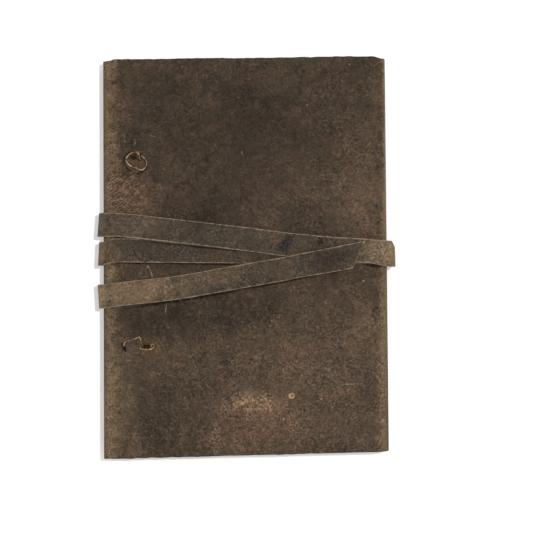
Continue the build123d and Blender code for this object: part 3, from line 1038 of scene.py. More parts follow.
@dataclass
class LeatherCover:
    """The one folded sheet of leather: front, spine and back, with bent fore-edges."""

    book: Book = BOOK
    rows: int = 136
    panel_steps: int = 86
    bend_steps: int = 6
    wave: float = 0.22
    edge_wander: float = 0.28
    edge_round: float = 0.35
    hole: float = 0.62
    cutter_depth: float = 60.0
    flat_from: float = 4.0
    flat_by: float = 14.0
    ragged: float = 6.0
    spine_corner: Spot = (3.4, 0.65)
    fore_corner: Spot = (57.3, 1.3)

    def profile(self, width: float, fore_bend: float, y: float, rise: float) -> Piece:
        """Draws the sheet's outer outline at one end by extruding and spinning a point.

        Args:
            width: The cover's width at that end.
            fore_bend: The radius of the front fore-edge bend there.
            y: The height up the book.
            rise: How much higher the fore-edge corner is than the spine corner.

        Returns:
            The chain of edges, in its place.
        """
        book, top, spine = self.book, self.book.thickness, self.book.spine_radius
        with chain_from((width, 0, top - book.front_lip)) as chain:
            run((0, 0, book.front_lip - fore_bend), 4)
            bend((width - fore_bend, 0, top - fore_bend), 90, self.bend_steps + 2)
            run((-(width - fore_bend - spine), 0, 0), self.panel_steps)
            bend((spine, 0, top - spine), 90, self.bend_steps + 2)
            run((0, 0, 2 * spine - top), 4)
            bend((spine, 0, spine), 90, self.bend_steps + 2)
            run((width - spine - book.back_bend, 0, 0), self.panel_steps)
            bend((width - book.back_bend, 0, book.back_bend), 90, self.bend_steps)
            run((0, 0, book.back_lip - book.back_bend), 2)
        chain.rotation_euler = (0, 0, math.atan2(rise, width))
        chain.location = (book.spine_x(y), y, 0)
        settle(chain)
        return chain

    def build(self) -> Piece:
        """Makes the sheet, gives it its thickness and cuts its holes.

        Returns:
            The cover.
        """
        book = self.book
        half = book.height / 2
        head = self.profile(book.head_width, book.head_bend, half, book.head_rise)
        tail = self.profile(book.tail_width, book.tail_bend, -half, book.tail_rise)
        cover = join("leather_cover_dressed", [head, tail])
        with on_the_bench(cover):
            pick_all()
            bpy.ops.mesh.bridge_edge_loops(type="SINGLE", number_cuts=self.rows, interpolation="LINEAR")
        face_out(cover)
        shape(cover, self.soften)
        thicken(cover, book.leather, -1.0, self.edge_round)
        self.cut_holes(cover)
        smooth(cover)
        return cover

    def soften(self, place: Vector) -> Vector:
        """Lets the leather sink a little between its folds and wander along its cut ends.

        Args:
            place: A point of the sheet.

        Returns:
            Its new place.
        """
        book = self.book
        inside = min(place.x - book.spine_x(place.y), book.fore_x(place.y) - place.x)
        sink = ease((inside - self.flat_from) / self.flat_by)
        wave = ripple(place, 34.0, 3.1) + 0.5 * ripple(place, 13.0, 7.7) - 0.75
        if place.z > book.thickness - 0.5:
            place.z += self.wave * sink * wave
        elif place.z < 0.5:
            place.z -= self.wave * 0.5 * sink * wave
        to_end = book.height / 2 - abs(place.y)
        near = 1.0 - ease(to_end / self.ragged)
        wander = ripple(Vector((place.x, place.z, math.copysign(9.0, place.y))), 17.0, 1.3)
        wander += 0.8 * ripple(Vector((place.x, place.z, place.y)), 2.8, 5.9)
        place.y += near * self.edge_wander * wander
        if place.y > 0.0 and place.z > 8.0:
            from_spine = place.x - book.spine_x(place.y)
            (spine_x, spine_drop), (fore_x, fore_drop) = self.spine_corner, self.fore_corner
            at_spine = spine_drop * (1.0 - ease((from_spine - spine_x) / 2.0))
            place.y -= near * (at_spine + fore_drop * ease((place.x - fore_x) / 4.6))
        return place

    def cut_holes(self, cover: Piece) -> None:
        """Cuts the ties' two holes and two slits through front and back.

        Args:
            cover: The thick sheet.
        """
        round_holes = [(UPPER_TIE, hole, 2 * self.hole, 0.0) for hole in UPPER_HOLES]
        slits = [(LOWER_TIE, *slit) for slit in LOWER_SLITS]
        cutters = []
        for tie, (x, y), length, turn in round_holes + slits:
            bpy.ops.mesh.primitive_cylinder_add(vertices=20, radius=self.hole, depth=self.cutter_depth,
                                                location=(tie[0] + x, tie[1] + y, 8.0),
                                                rotation=(0, 0, math.radians(turn)))
            cutters.append(bpy.context.object)
            cutters[-1].scale.x = length / (2 * self.hole)
        for cutter in cutters:
            finish_with(cover, "BOOLEAN", object=cutter, operation="DIFFERENCE", solver="EXACT")
            bpy.data.objects.remove(cutter)

    def dress(self, cover: Piece) -> None:
        """Gives the cover its leather, its napped inside and its cut edge.

        Args:
            cover: The finished shape.
        """
        grain = WornLeather("cover_grain_leather", (0.042, 0.030, 0.020), (0.078, 0.052, 0.033),
                            (0.250, 0.178, 0.114), (0.248, 0.168, 0.094), marks=COVER_MARKS, cover=True)
        inside = FleshSide("cover_flesh_side", (0.150, 0.100, 0.062))
        edge = CutEdge("cover_cut_edge", (0.180, 0.125, 0.080), (0.050, 0.034, 0.022))
        dress_with(cover, grain, inside, edge)


@dataclass
class PageBlock:
    """Five gatherings of folded handmade sheets with soft, uneven edges."""

    book: Book = BOOK
    low: float = 2.0
    pitch: float = 0.264
    sheet: float = 0.2
    sheets: int = 5
    head_inset: float = 3.0
    tail_y: float = -82.3
    fore_x: float = 58.6
    rows: int = 24
    run_steps: int = 14
    fold_steps: int = 6
    play: float = 0.25
    frayed_end: float = 9.0
    frayed_fore: float = 10.0
    spine_round: float = 16.0
    spine_pull: tuple[float, ...] = (2.1, 0.5, 0.0, 0.5, 2.1)

    def folded_sheet(self, index: int) -> Piece:
        """Makes one sheet folded round its gathering's middle.

        Args:
            index: How many sheets lie inside it.

        Returns:
            The sheet as an open strip, with the gathering's middle at height zero.
        """
        radius = self.pitch * (index + 0.5)
        fold_x = self.book.spine_x(0) + self.book.leather + self.play + self.pitch * self.sheets
        tail, head = self.tail_y, self.book.height / 2 - self.head_inset
        with chain_from((self.fore_x, tail, radius)) as sheet:
            run((fold_x - self.fore_x, 0, 0), self.run_steps)
            bend((fold_x, tail, 0), 180, self.fold_steps)
            run((self.fore_x - fold_x, 0, 0), self.run_steps)
            pick_all()
            run((0, head - tail, 0), self.rows)
        return sheet

    def build(self) -> Piece:
        """Makes one gathering, copies it and lets every sheet's edges differ.

        Returns:
            The block of leaves.
        """
        first = join("gathering", [self.folded_sheet(index) for index in range(self.sheets)])
        gatherings = [first]
        for _ in self.spine_pull[1:]:
            gatherings.append(stand(first.name, first.data.copy()))
        depth = 2 * self.sheets * self.pitch
        spine = self.book.spine_x(0) + self.book.leather
        for index, (gathering, pull) in enumerate(zip(gatherings, self.spine_pull)):
            shape(gathering, lambda at, pull=pull: Vector(
                (at.x + pull * (1.0 - ease((at.x - spine) / self.spine_round)), at.y, at.z)))
            gathering.location.z = self.low + depth * (index + 0.5)
            settle(gathering)
        block = join("page_block_dressed", gatherings)
        shape(block, self.fray)
        finish_with(block, "SOLIDIFY", thickness=self.sheet, offset=0.0, use_rim=True)
        with on_the_bench(block):
            pick_all()
            bpy.ops.mesh.remove_doubles(threshold=MERGE)
            bpy.ops.mesh.normals_make_consistent(inside=False)
        smooth(block, 60.0)
        return block

    def fray(self, place: Vector) -> Vector:
        """Moves a sheet's edges unevenly in and out, and lets it cockle.

        Args:
            place: A point of a sheet.

        Returns:
            Its new place.
        """
        leaf = math.floor((place.z - self.low) / self.pitch)
        head = self.book.height / 2 - self.head_inset
        to_end = min(place.y - self.tail_y, head - place.y)
        end_near = 1.0 - ease(to_end / self.frayed_end)
        fore_near = 1.0 - ease((self.fore_x - place.x) / self.frayed_fore)
        seat = Vector((place.x, place.y, leaf * 11.3))
        longer = ripple(Vector((leaf * 3.7, 0, 0)), 1.0, 4.0)
        wider = ripple(Vector((leaf * 5.1, 3, 0)), 1.0, 8.0)
        place.y += end_near * (0.8 * ripple(seat, 9.0, 2.0) + 0.5 * longer)
        place.x += fore_near * (0.9 * ripple(seat, 8.0, 6.0) + 0.6 * wider)
        place.z += (0.04 + 0.03 * max(end_near, fore_near)) * ripple(seat, 13.0, 9.0)
        return place

    def dress(self, block: Piece) -> None:
        """Gives the leaves their paper."""
        dress_with(block, HandmadePaper("handmade_paper", (0.72, 0.64, 0.50), (0.52, 0.43, 0.30)))


@dataclass(frozen=True)
class Station:
    """A place of the strap's inner face: its middle, and how much higher its upper edge is."""

    x: float
    y: float
    z: float
    lift: float = 0.0


@dataclass
class WrapStrap:
    """The long strap: sewn under the back cover, then wound three times round the book."""

    book: Book = BOOK
    width: float = 10.6
    leather: float = 1.8
    edge_round: float = 0.48
    gap: float = 0.15
    upper_y: float = 15.4
    middle_y: float = 2.4
    settle_y: float = 4.0
    lower_y: float = -16.7
    gather_y: float = 2.9
    left_x: float = -56.7465
    right_x: float = 58.3769
    lead: float = 0.5
    across: int = 8
    step: float = 1.9
    turn_steps: int = 9
    sewn_length: float = 13.4
    last_fall: float = 2.9666
    knee: float = 0.845
    knee_rise: float = 1.2
    crossing: float = 0.635
    end_inset: float = 7.2
    end_skew: float = 5.1
    end_y: float = 2.5
    dip: float = 0.9
    pulled_in: float = 0.32
    middle_band: Spot = (-4.5, 9.0)
    lower_band: float = -5.0
    lower_slant: float = 0.9
    end_drop: Spot = (0.65, 1.15)
    wander: Spot = (0.14, 0.05)
    cockle: float = 0.06
    gathered: Spot = (0.4, 1.5)
    gather_rise: float = 0.6
    stand_out: Place = (0.075, 0.05, 0.065)
    at: Vector = field(default_factory=Vector)
    roll: float = 0.0

    def layer(self, count: int) -> float:
        """The height of a layer's inner face out from the cover."""
        return self.gap + (count - 1) * (self.leather + self.gap)

    def start(self) -> Piece:
        """Makes the strap's sewn end as one row of points under the back cover.

        Returns:
            The row, for the first extrusion.
        """
        self.at = Vector((self.left_x + self.sewn_length, self.middle_y, -self.layer(1)))
        bpy.ops.object.select_all(action="DESELECT")
        bpy.ops.mesh.primitive_plane_add(size=self.width, location=self.at + Vector((self.width / 2, 0, 0)))
        strap = bpy.context.object
        start_x = self.at.x
        with on_the_bench(strap):
            bpy.ops.mesh.select_mode(type="VERT")
            pick(strap, lambda place: place.x + strap.location.x > start_x + 1.0)
            bpy.ops.mesh.delete(type="VERT")
            pick_all()
            bpy.ops.mesh.subdivide(number_cuts=self.across - 1)
        return strap

    def go(self, station: Station) -> None:
        """Extrudes the strap's end row to the next station and rolls it there.

        Args:
            station: The place and lift that the row moves to.
        """
        target = Vector((station.x, station.y, station.z))
        bpy.ops.mesh.extrude_region_move(TRANSFORM_OT_translate={"value": target - self.at})
        roll = math.atan2(station.lift, self.width)
        if abs(roll - self.roll) > 1e-6:
            bpy.ops.transform.rotate(value=-(roll - self.roll), orient_axis="X", center_override=target)
        self.at, self.roll = target, roll

    def turn(self, middle_x: float, middle_z: float) -> None:
        """Spins the end row a quarter round one bend of the book.

        Args:
            middle_x: The bend's middle across the book.
            middle_z: The bend's middle in height.
        """
        middle = Vector((middle_x, self.at.y, middle_z))
        bend(middle, -90, self.turn_steps)
        arm = self.at - middle
        arm.rotate(Matrix.Rotation(math.radians(90), 3, "Y"))
        self.at = middle + arm

    def straight(self, target: Station, steps: int = 0) -> None:
        """Goes straight to a station.

        Args:
            target: The place and lift to reach.
            steps: In how many steps, or 0 for steps of about the usual length.
        """
        begin = self.at.copy()
        end = Vector((target.x, target.y, target.z))
        count = steps or max(1, round((end - begin).length / self.step))
        start_lift = math.tan(self.roll) * self.width
        for index in range(1, count + 1):
            place = begin.lerp(end, index / count)
            self.go(Station(*place, between(start_lift, target.lift, index / count)))

    def spine_turn(self, y: float) -> None:
        """Takes the strap from the back cover round the spine to the front.

        Args:
            y: How far up the book it goes round.
        """
        radius = self.book.spine_radius + self.gap
        middle_x = self.left_x - self.lead
        self.straight(Station(middle_x, y, -self.layer(1)), 1)
        self.turn(middle_x, radius - self.layer(1))
        top = self.book.thickness + self.layer(1)
        self.straight(Station(middle_x - radius, y, top - radius), 3)
        self.turn(middle_x, top - radius)
        self.straight(Station(self.left_x, y, top), 1)

    def fore_turn(self, count: int, bottom: float) -> None:
        """Takes the strap from the front round the fore-edge to the back.

        Args:
            count: Which layer it is there.
            bottom: The height of its inner face under the back cover.
        """
        grow = self.layer(count) - self.layer(1)
        book_bend = (self.book.head_bend + self.book.tail_bend) / 2
        front = book_bend + self.gap + grow
        back = self.book.back_bend + self.gap + grow
        side = self.right_x + book_bend + self.gap + self.lead + grow
        top = self.book.thickness + self.layer(count)
        self.straight(Station(side - front, self.gather_y, top), 1)
        self.turn(side - front, top - front)
        self.straight(Station(side, self.gather_y, bottom + back), 5)
        self.turn(side - back, bottom + back)
        self.straight(Station(self.right_x, self.gather_y, bottom), 2)

    def over_front(self, course: Callable[[float], Spot | Place], share: float = 1.0) -> None:
        """Takes the strap over the front cover.

        Args:
            course: Gives the strap's Y, height and lift at a share of the way.
            share: How much of the way it goes.
        """
        length = self.right_x - self.left_x
        count = round(length * share / self.step)
        for index in range(1, count + 1):
            reached = share * index / count
            self.go(Station(self.left_x + length * reached, *course(reached)))

    def middle_course(self, share: float) -> Spot:
        """Where the first pass lies, flat on the cover."""
        return between(self.settle_y, self.gather_y, share), self.book.thickness + self.layer(1)

    def upper_course(self, share: float) -> Place:
        """Where the second pass lies, which rolls up on to the first.

        Args:
            share: The share of the way over the front.

        Returns:
            The strap's Y, its height and its lift.
        """
        one, two = self.layer(1), self.layer(2)
        level = ((0.62, two), (1.0, two))
        upper_edge = ((0.0, one), (0.1, one + 0.08), (0.3, one + 0.5), (0.42, two - 0.85), *level)
        lower_edge = ((0.0, one), (0.075, two + 0.02), (0.3, two + 0.6), (0.42, two + 0.85), *level)
        knee_y = self.gather_y + self.knee_rise
        if share < self.knee:
            y = between(self.upper_y, knee_y, share / self.knee)
        else:
            y = between(knee_y, self.gather_y, (share - self.knee) / (1.0 - self.knee))
        upper, lower = read_stops(upper_edge, share), read_stops(lower_edge, share)
        return y, self.book.thickness + (upper + lower) / 2, upper - lower

    def lower_pass(self) -> None:
        """Takes the last pass over both others to the strap's end."""
        length = self.right_x - self.left_x
        end_x = self.right_x - self.end_inset
        end_share = (end_x - self.left_x) / length
        stops = [(0.0, self.lower_y)]
        for share in (0.3, self.crossing):
            stops.append((share, between(self.lower_y, self.end_y, share / end_share) - self.dip))
        stops += [(end_share, self.end_y), (1.0, self.end_y + 1.0)]
        rise = ((0.0, self.layer(1)), (self.crossing, self.layer(3)), (1.0, self.layer(3)))
        over = (end_x + self.end_skew - self.left_x) / length
        top = self.book.thickness
        self.over_front(lambda share: (read_stops(stops, share), top + read_stops(rise, share)), over)

    def cut_end(self, strap: Piece) -> None:
        """Cuts the strap's end off on the slant.

        Args:
            strap: The strap, in edit mode.
        """
        end = Vector((self.right_x - self.end_inset, self.end_y, 0))
        slant = Vector((self.end_skew, self.width, 0)).normalized()
        across = Vector((slant.y, -slant.x, 0))
        level = self.book.thickness + self.layer(3) - 0.6
        near = end.x - 8.0
        pick(strap, lambda place: place.z + strap.location.z > level and place.x + strap.location.x > near)
        bpy.ops.mesh.bisect(plane_co=end, plane_no=across, clear_outer=True, clear_inner=False)

    def build(self) -> Piece:
        """Winds the strap and gives it its thickness.

        Returns:
            The strap.
        """
        strap = self.start()
        back = -self.layer(1)
        with on_the_bench(strap):
            pick_all()
            self.straight(Station(self.left_x, self.middle_y, back))
            self.spine_turn(self.middle_y)
            self.over_front(self.middle_course)
            self.fore_turn(1, back)
            self.straight(Station(self.left_x, self.upper_y, back))
            self.spine_turn(self.upper_y)
            self.over_front(self.upper_course)
            self.fore_turn(2, back - self.last_fall)
            self.straight(Station(self.left_x, self.lower_y, back))
            self.spine_turn(self.lower_y)
            self.lower_pass()
            self.cut_end(strap)
            pick_all()
            bpy.ops.mesh.remove_doubles(threshold=MERGE)
        settle(strap)
        face_out(strap)
        self.mark_rim(strap)
        thicken(strap, self.leather, 1.0, self.edge_round, material=2)
        shape(strap, self.soften)
        smooth(strap)
        return join("wrap_strap_dressed", [strap])

    @staticmethod
    def mark_rim(strap: Piece) -> None:
        """Notes on the strip's points which lie on its border, where the leather is painted pale: partly
        rubbed, partly a painted highlight.

        Args:
            strap: The open strip.
        """
        with on_the_bench(strap) as mesh:
            border = {point.index for point in mesh.verts if point.is_boundary}
        rim = strap.data.attributes.new("rim", "FLOAT", "POINT")
        for index, note in enumerate(rim.data):
            note.value = float(index in border)

    def soften(self, place: Vector) -> Vector:
        """Lets the strap lie and wear as hand-cut leather does.

        Args:
            place: A point of the thick strap.

        Returns:
            Its new place.
        """
        self.slant_at_spine(place)
        self.lower_end(place)
        self.roughen(place)
        self.press_stitches(place)
        self.gather_at_fore_edge(place)
        self.narrow_at_spine(place)
        return place

    def slant_at_spine(self, place: Vector) -> None:
        """Lets the middle and the lower pass slant as they come round the spine.

        Args:
            place: A point of the strap, which moves.
        """
        if place.z > self.book.thickness / 2:
            round_spine = ease((place.x + 64.3) / 7.6)
            if self.middle_band[0] < place.y < self.middle_band[1] and place.x < self.left_x + self.lead:
                place.y += (self.settle_y - self.middle_y) * round_spine
            elif place.y < self.lower_band:
                place.y += self.lower_slant * round_spine * (1.0 - ease((place.x + 56.0) / 26.0))

    def lower_end(self, place: Vector) -> None:
        """Lets the strap's free end lie a little nearer to the tail, its lower edge the most.

        Args:
            place: A point of the strap, which moves.
        """
        if place.z > self.book.thickness + self.layer(3) - 0.12 and place.x > 20.0:
            lower = min(max(0.5 - (place.y + 4.6 - 0.204 * (place.x - 16.4)) / self.width, 0.0), 1.0)
            place.y -= ease((place.x - 20.0) / 28.0) * between(*self.end_drop, lower)

    def roughen(self, place: Vector) -> None:
        """Lets the strap's edges and face wander a little.

        Args:
            place: A point of the strap, which moves.
        """
        place.y += self.wander[0] * ripple(Vector((place.x, place.z * 0.5, 0)), 16.0, 2.2)
        place.y += self.wander[1] * ripple(place, 2.6, 4.4)
        if -50.0 < place.x < 50.0 and place.z > self.book.thickness:
            place.z += self.cockle * ripple(place, 12.0, 8.8)

    def press_stitches(self, place: Vector) -> None:
        """Presses the strap's outer face in along the rows of stitches.

        Args:
            place: A point of the strap, which moves.
        """
        if place.z < -1.5 and -56.0 < place.x < -44.0:
            from_stitch = min(abs(place.y - y) for y in STITCH_ROWS)
            place.z += self.pulled_in * ease((1.1 - from_stitch) / 0.5)

    def gather_at_fore_edge(self, place: Vector) -> None:
        """Draws the turns round the fore-edge together.

        Args:
            place: A point of the strap, which moves.
        """
        high = ease((place.z - 1.0) / 8.0)
        low = min(max((self.gather_y + self.width / 2 - place.y) / self.width, 0.0), 1.0)
        place.y -= high * ease((place.x - 55.0) / 11.0) * between(*self.gathered, low)
        place.y += high * self.gather_rise * ease((place.x - 20.0) / 30.0)
        corner = 0.035 * max(0.0, place.y + 4.4) + 1.3 * ease((place.y - 5.8) / 2.4)
        place.x -= ease((place.x - 59.0) / 5.0) * corner

    def narrow_at_spine(self, place: Vector) -> None:
        """Lets each turn round the spine stand out more at one edge than at the other.

        Args:
            place: A point of the strap, which moves.
        """
        out = ease((-56.0 - place.x) / 7.0)
        upper, middle, lower = self.stand_out
        if place.y > 8.8:
            place.x -= out * upper * (self.upper_y + self.width / 2 - place.y)
        elif place.y > -7.0:
            place.x -= out * middle * (self.middle_y + self.width / 2 - place.y)
        else:
            place.x += out * lower * (self.lower_y - self.width / 2 - place.y)

    def dress(self, strap: Piece) -> None:
        """Gives the strap its leather, its napped inside and its pale cut edges.

        Args:
            strap: The finished shape.
        """
        grain = WornLeather("strap_grain_leather", (0.048, 0.037, 0.026), (0.078, 0.057, 0.038),
                            (0.230, 0.172, 0.116), (0.190, 0.130, 0.078), rubbed=0.42, fleck_size=0.75,
                            marks=STRAP_MARKS, bordered=True)
        inside = FleshSide("strap_flesh_side", (0.110, 0.076, 0.048))
        edge = CutEdge("strap_cut_edge", (0.440, 0.340, 0.240), (0.170, 0.125, 0.085))
        dress_with(strap, grain, inside, edge)


@dataclass
class CordMaker:
    """Lays twisted strands along a smooth route."""

    sides: int = 7
    plies: int = 2
    twist_length: float = 1.7
    resolution: int = 10
    strand_step: float = 0.2
    fluff_step: float = 0.3
    ply_share: float = 0.29
    fibre: float = 0.035

    def route(self, points: Sequence[Place]) -> list[Vector]:
        """Reads the places along a smooth spline through a route's points.

        Args:
            points: The spline's control points.

        Returns:
            Places along the spline.
        """
        curve = bpy.data.curves.new("route", "CURVE")
        curve.dimensions = "3D"
        spline = curve.splines.new("NURBS")
        spline.points.add(len(points) - 1)
        for knot, point in zip(spline.points, points):
            knot.co = (*point, 1.0)
        spline.order_u = 3
        spline.use_endpoint_u = True
        spline.resolution_u = self.resolution
        holder = stand("route", curve)
        mesh = bpy.data.meshes.new_from_object(holder)
        places = [point.co.copy() for point in mesh.vertices]
        bpy.data.objects.remove(holder)
        bpy.data.meshes.remove(mesh)
        bpy.data.curves.remove(curve)
        return places

    def tube(self, places: Sequence[Vector], radius: float, taper: float = 1.0) -> Piece:
        """Makes a closed round tube along places.

        Args:
            places: The middle line.
            radius: The tube's radius.
            taper: The share of that radius left at the far end.

        Returns:
            The tube.
        """
        curve = bpy.data.curves.new("strand", "CURVE")
        curve.dimensions = "3D"
        curve.bevel_depth = radius
        curve.bevel_resolution = max(0, self.sides // 2 - 2)
        curve.use_fill_caps = True
        spline = curve.splines.new("POLY")
        spline.points.add(len(places) - 1)
        for index, (knot, place) in enumerate(zip(spline.points, places)):
            knot.co = (*place, 1.0)
            knot.radius = between(1.0, taper, index / (len(places) - 1))
        take(stand("strand", curve))
        bpy.ops.object.convert(target="MESH")
        return bpy.context.object

    def strands(self, points: Sequence[Place], diameter: float) -> list[Piece]:
        """Twists the plies of a cord round its route.

        Args:
            points: The route's control points.
            diameter: The cord's width over its plies.

        Returns:
            One tube for each ply.
        """
        line = self.even(self.route(points), self.strand_step)
        ply = diameter * self.ply_share
        arm = diameter * 0.5 - ply
        normal = Vector((0, 0, 1))
        rows: list[tuple[Vector, Vector, Vector]] = []
        for index, place in enumerate(line):
            ahead = line[min(index + 1, len(line) - 1)] - line[max(index - 1, 0)]
            ahead.normalize()
            normal = normal - ahead * normal.dot(ahead)
            if normal.length < 1e-4:
                normal = Vector((0, 1, 0)) - ahead * ahead.y
            normal.normalize()
            rows.append((place, normal.copy(), ahead.cross(normal)))
        made = []
        for number in range(self.plies):
            path = []
            for index, (place, up, aside) in enumerate(rows):
                turn = 2 * math.pi * (index * self.strand_step / self.twist_length + number / self.plies)
                path.append(place + (up * math.cos(turn) + aside * math.sin(turn)) * arm)
            made.append(self.tube(path, ply))
        return made

    @staticmethod
    def even(line: Sequence[Vector], step: float) -> list[Vector]:
        """Spaces places evenly along a line.

        Args:
            line: The line's own places.
            step: The distance between the new ones.

        Returns:
            The new places.
        """
        spaced = [line[0].copy()]
        left = step
        for here, there in zip(line, line[1:]):
            length = (there - here).length
            done = 0.0
            while length - done >= left:
                done += left
                spaced.append(here.lerp(there, done / length))
                left = step
            left -= length - done
        return spaced

    def fluff(self, route: Sequence[Place], count: int, seed: int, reach: float) -> list[Piece]:
        """Stray fibres that stand off a cord.

        Args:
            route: The cord's control points.
            count: How many fibres.
            seed: The start of the random draws.
            reach: How far they stand off, in millimetres.

        Returns:
            The fibres as thin tubes.
        """
        line = self.even(self.route(route), self.fluff_step)
        draw = random.Random(seed)
        made = []
        for _ in range(count):
            root = line[draw.randrange(2, len(line) - 2)]
            way = Vector((draw.uniform(-1, 1), draw.uniform(-1, 1), draw.uniform(0.0, 0.7))).normalized()
            bow = Vector((draw.uniform(-1, 1), draw.uniform(-1, 1), draw.uniform(-0.2, 0.4))) * reach * 0.5
            length = reach * draw.uniform(0.4, 1.0)
            path = [root + way * length * share + bow * share * share for share in (0.0, 0.35, 0.7, 1.0)]
            made.append(self.tube(path, self.fibre, 0.4))
        return made


@dataclass
class BindingTie:
    """A cord that goes down through the book near the spine and back up."""

    maker: CordMaker
    at: Spot
    book: Book = BOOK
    diameter: float = 0.70
    lift: float = 0.05

    def lying(self, *places: Spot) -> list[Place]:
        """Points of a cord that lies on the front cover."""
        height = self.book.thickness + self.lift + self.diameter / 2
        return [(self.at[0] + x, self.at[1] + y, height) for x, y in places]

    def under(self, *places: Spot) -> list[Place]:
        """Points of a cord that runs outside the back cover."""
        height = -self.lift - self.diameter / 2 + 0.1
        return [(self.at[0] + x, self.at[1] + y, height) for x, y in places]

    def dress(self, tie: Piece) -> None:
        """Gives the tie its waxed thread."""
        dress_with(tie, WaxedCord(tie.name + "_thread", (0.50, 0.33, 0.185), (0.085, 0.048, 0.024)))


@dataclass
class UpperTie(BindingTie):
    """The tie at the head: a heart-shaped ring with a knot."""

    at: Spot = UPPER_TIE
    fibres: int = 26
    seed: int = 5

    def build(self) -> Piece:
        """Makes the ring, its knot and the two legs through the book.

        Returns:
            The tie.
        """
        hole_a, hole_b = UPPER_HOLES
        ring = ((3.3, 1.6), (4.6, -0.2), (4.3, -2.3), (3.1, -3.8), (1.6, -3.95), (0.1, -3.0), (-2.0, -2.6),
                (-3.9, -1.2), (-4.7, 0.6), (-3.9, 2.6), (-2.3, 3.8), (-0.7, 4.15), (0.27, 3.82))
        down = self.lying((1.12, 3.28), (1.3, 2.2), hole_b, hole_b)
        back = self.under(hole_b, (1.8, 1.6), hole_a)
        around = self.lying(hole_a, hole_a, *ring)
        pieces = self.maker.strands(down + back + around, self.diameter)
        pieces.append(self.knot((self.at[0] + 0.72, self.at[1] + 3.62, self.book.thickness + 0.75)))
        pieces += self.maker.fluff(self.lying(*ring), self.fibres, self.seed, 0.9)
        return join("upper_binding_tie_dressed", pieces)

    def knot(self, middle: Place) -> Piece:
        """Ties a small overhand knot.

        Args:
            middle: Where it sits.

        Returns:
            The knot.
        """
        steps = 72
        path = []
        for index in range(steps + 1):
            turn = 2 * math.pi * index / steps
            x = math.sin(turn) + 2 * math.sin(2 * turn)
            y = math.cos(turn) - 2 * math.cos(2 * turn)
            z = -math.sin(3 * turn)
            path.append(Vector(middle) + Vector((x * 0.2, y * 0.2, z * 0.26)))
        return self.maker.tube(path, 0.3)


@dataclass
class LowerTie(BindingTie):
    """The broken tie at the tail: a thick hook and a thin drawn strand."""

    at: Spot = LOWER_TIE
    strand: float = 0.46

    def build(self) -> Piece:
        """Makes the hook, the strand and the run under the book.

        Returns:
            The tie.
        """
        right, left = (4.8, -1.1), (-7.1, -0.95)
        thick = self.lying((0.4, -0.9), (-0.3, -1.7), (2.0, -2.6), (5.2, -2.4), (6.7, -1.2), (6.1, -0.1),
                           (5.4, -0.4), right)
        back = self.under(right, (-1.0, -1.4), left)
        up = self.lying(left, (-7.05, -0.3), (-6.95, 0.3))
        pieces = self.maker.strands(thick + back + up, self.diameter + 0.08)
        strand = self.lying((-7.0, 0.0), (-6.7, 0.95), (-4.0, 1.6), (-1.1, 2.65), (-0.25, 3.5), (0.45, 1.9),
                            (1.0, -0.2), (1.2, -1.1))
        over = [(x, y, z + 0.05) for x, y, z in strand]
        over.append((over[-1][0], over[-1][1], over[-1][2] - 2.4))
        pieces += self.maker.strands(over, self.strand)
        for line, fibres, seed in ((thick, 16, 7), (over, 18, 11)):
            pieces += self.maker.fluff(line, fibres, seed, 0.8)
        return join("lower_binding_tie_dressed", pieces)


@dataclass
class StitchRow:
    """Three saddle stitches that hold the start of the strap under the back cover."""

    maker: CordMaker
    name: str
    y: float
    stitch: float = 3.0
    count: int = 3
    first_x: float = -54.5465
    top: float = 1.62
    bottom: float = -1.56
    thread: float = 0.44
    half_apart: float = 0.12

    def build(self) -> Piece:
        """Makes the two threads that pass each other in every hole.

        Returns:
            The row of stitches.
        """
        pieces = []
        for first_side in (0, 1):
            points: list[Place] = [(self.first_x, self.y + (2 * first_side - 1) * self.half_apart, 0.0)]
            y = points[0][1]
            for index in range(self.count):
                high = (index + first_side) % 2 == 0
                z = self.top + 0.2 if high else self.bottom - 0.2
                x = self.first_x + index * self.stitch
                points += [(x + 0.05, y, z), (x + self.stitch / 2, y, z), (x + self.stitch - 0.05, y, z)]
                points += [(x + self.stitch, y, 0.0)]
            pieces += self.maker.strands(points, self.thread)
        return join(self.name, pieces)

    def dress(self, row: Piece) -> None:
        """Gives the row its thread."""
        dress_with(row, WaxedCord(row.name + "_thread", (0.44, 0.32, 0.20), (0.20, 0.13, 0.08)))


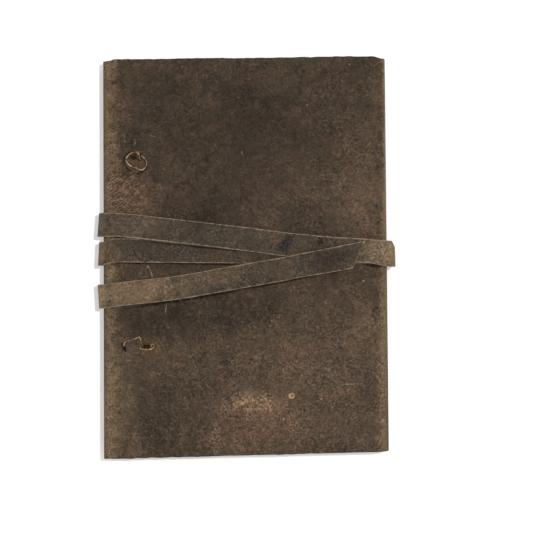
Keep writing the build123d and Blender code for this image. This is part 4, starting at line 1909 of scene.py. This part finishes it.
@dataclass
class Studio:
    """The pale table, the soft lamp and the camera straight above."""

    camera_at: Place = (0.00855, -0.0038, 1.0206)
    lens: float = 151.8
    lamp_at: Place = (0.251, 0.125, 1.600)
    lamp_size: float = 0.055
    lamp_power: float = 12.1
    fill: float = 0.55
    table_size: float = 6.0
    white: tuple[float, ...] = (1.0, 1.0, 1.0, 1.0)
    table_glow: float = 0.30

    def build(self) -> None:
        """Makes the table, the light and the camera."""
        self.lay_table()
        self.light()
        self.set_camera()

    def lay_table(self) -> None:
        """Makes the table and its pale finish."""
        put_down_everything()
        bpy.ops.mesh.primitive_plane_add(size=self.table_size, location=(0, 0, 0))
        table = bpy.context.object
        table.name = "table_top"
        dye = Dye("pale_table")
        colour = dye.blend(dye.blotches(0.3, 0.7, 60.0, 2.0, 0.5), (0.90, 0.90, 0.89), (0.92, 0.92, 0.91))
        table.data.materials.append(dye.finish(colour, 0.8, 0.1))
        seen = dye.add("ShaderNodeLightPath").outputs["Is Camera Ray"]
        dye.shader.inputs["Emission Color"].default_value = self.white
        dye.put(dye.shader.inputs["Emission Strength"], dye.times(seen, self.table_glow))

    def light(self) -> None:
        """Sets the even fill light and the lamp."""
        world = bpy.data.worlds.new("studio")
        bpy.context.scene.world = world
        world.use_nodes = True
        shade = world.node_tree.nodes["Background"]
        shade.inputs["Color"].default_value = self.white
        shade.inputs["Strength"].default_value = self.fill
        lamp = bpy.data.lights.new("window_lamp", "AREA")
        lamp.shape = "DISK"
        lamp.size = self.lamp_size
        lamp.energy = self.lamp_power
        holder = stand("window_lamp", lamp)
        holder.location = self.lamp_at
        holder.rotation_euler = Vector(self.lamp_at).to_track_quat("Z", "Y").to_euler()

    def set_camera(self) -> None:
        """Hangs the camera over the book."""
        lens = bpy.data.cameras.new("camera")
        lens.lens = self.lens
        lens.clip_start = 0.01
        camera = stand("camera", lens)
        camera.location = self.camera_at
        bpy.context.scene.camera = camera
        bpy.context.scene.view_settings.view_transform = "Standard"


def report(piece: Piece, node: str) -> None:
    """Sets a finished piece in place of its CAD node and logs it.

    Args:
        piece: The finished piece.
        node: The CAD node that it stands for.
    """
    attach(piece, "root")
    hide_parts(node)
    piece.data.calc_loop_triangles()
    LOG.info("%s: %d triangles", piece.name, len(piece.data.loop_triangles))


def main() -> None:
    """Builds the studio and every piece of the journal in order."""
    logging.basicConfig(level=logging.INFO, format="%(message)s")
    Studio().build()
    maker = CordMaker()
    plan = (
        (LeatherCover(), "leather_cover", "cover_leather"),
        (PageBlock(), "page_block", "paper"),
        (WrapStrap(), "wrap_strap", "strap_leather"),
        (UpperTie(maker), "upper_binding_tie", "binding_cord"),
        (LowerTie(maker), "lower_binding_tie", "binding_cord"),
        (StitchRow(maker, "upper_stitch_row_dressed", STITCH_ROWS[0]), "upper_stitch_row", "sewing_thread"),
        (StitchRow(maker, "lower_stitch_row_dressed", STITCH_ROWS[1]), "lower_stitch_row", "sewing_thread"),
    )
    for builder, node, slot in plan:
        piece = builder.build()
        builder.dress(piece)
        if slot in ("binding_cord", "sewing_thread"):
            smooth(piece)
        BOOK.lay_down(piece)
        report(piece, node)


if __name__ == "__main__":
    main()
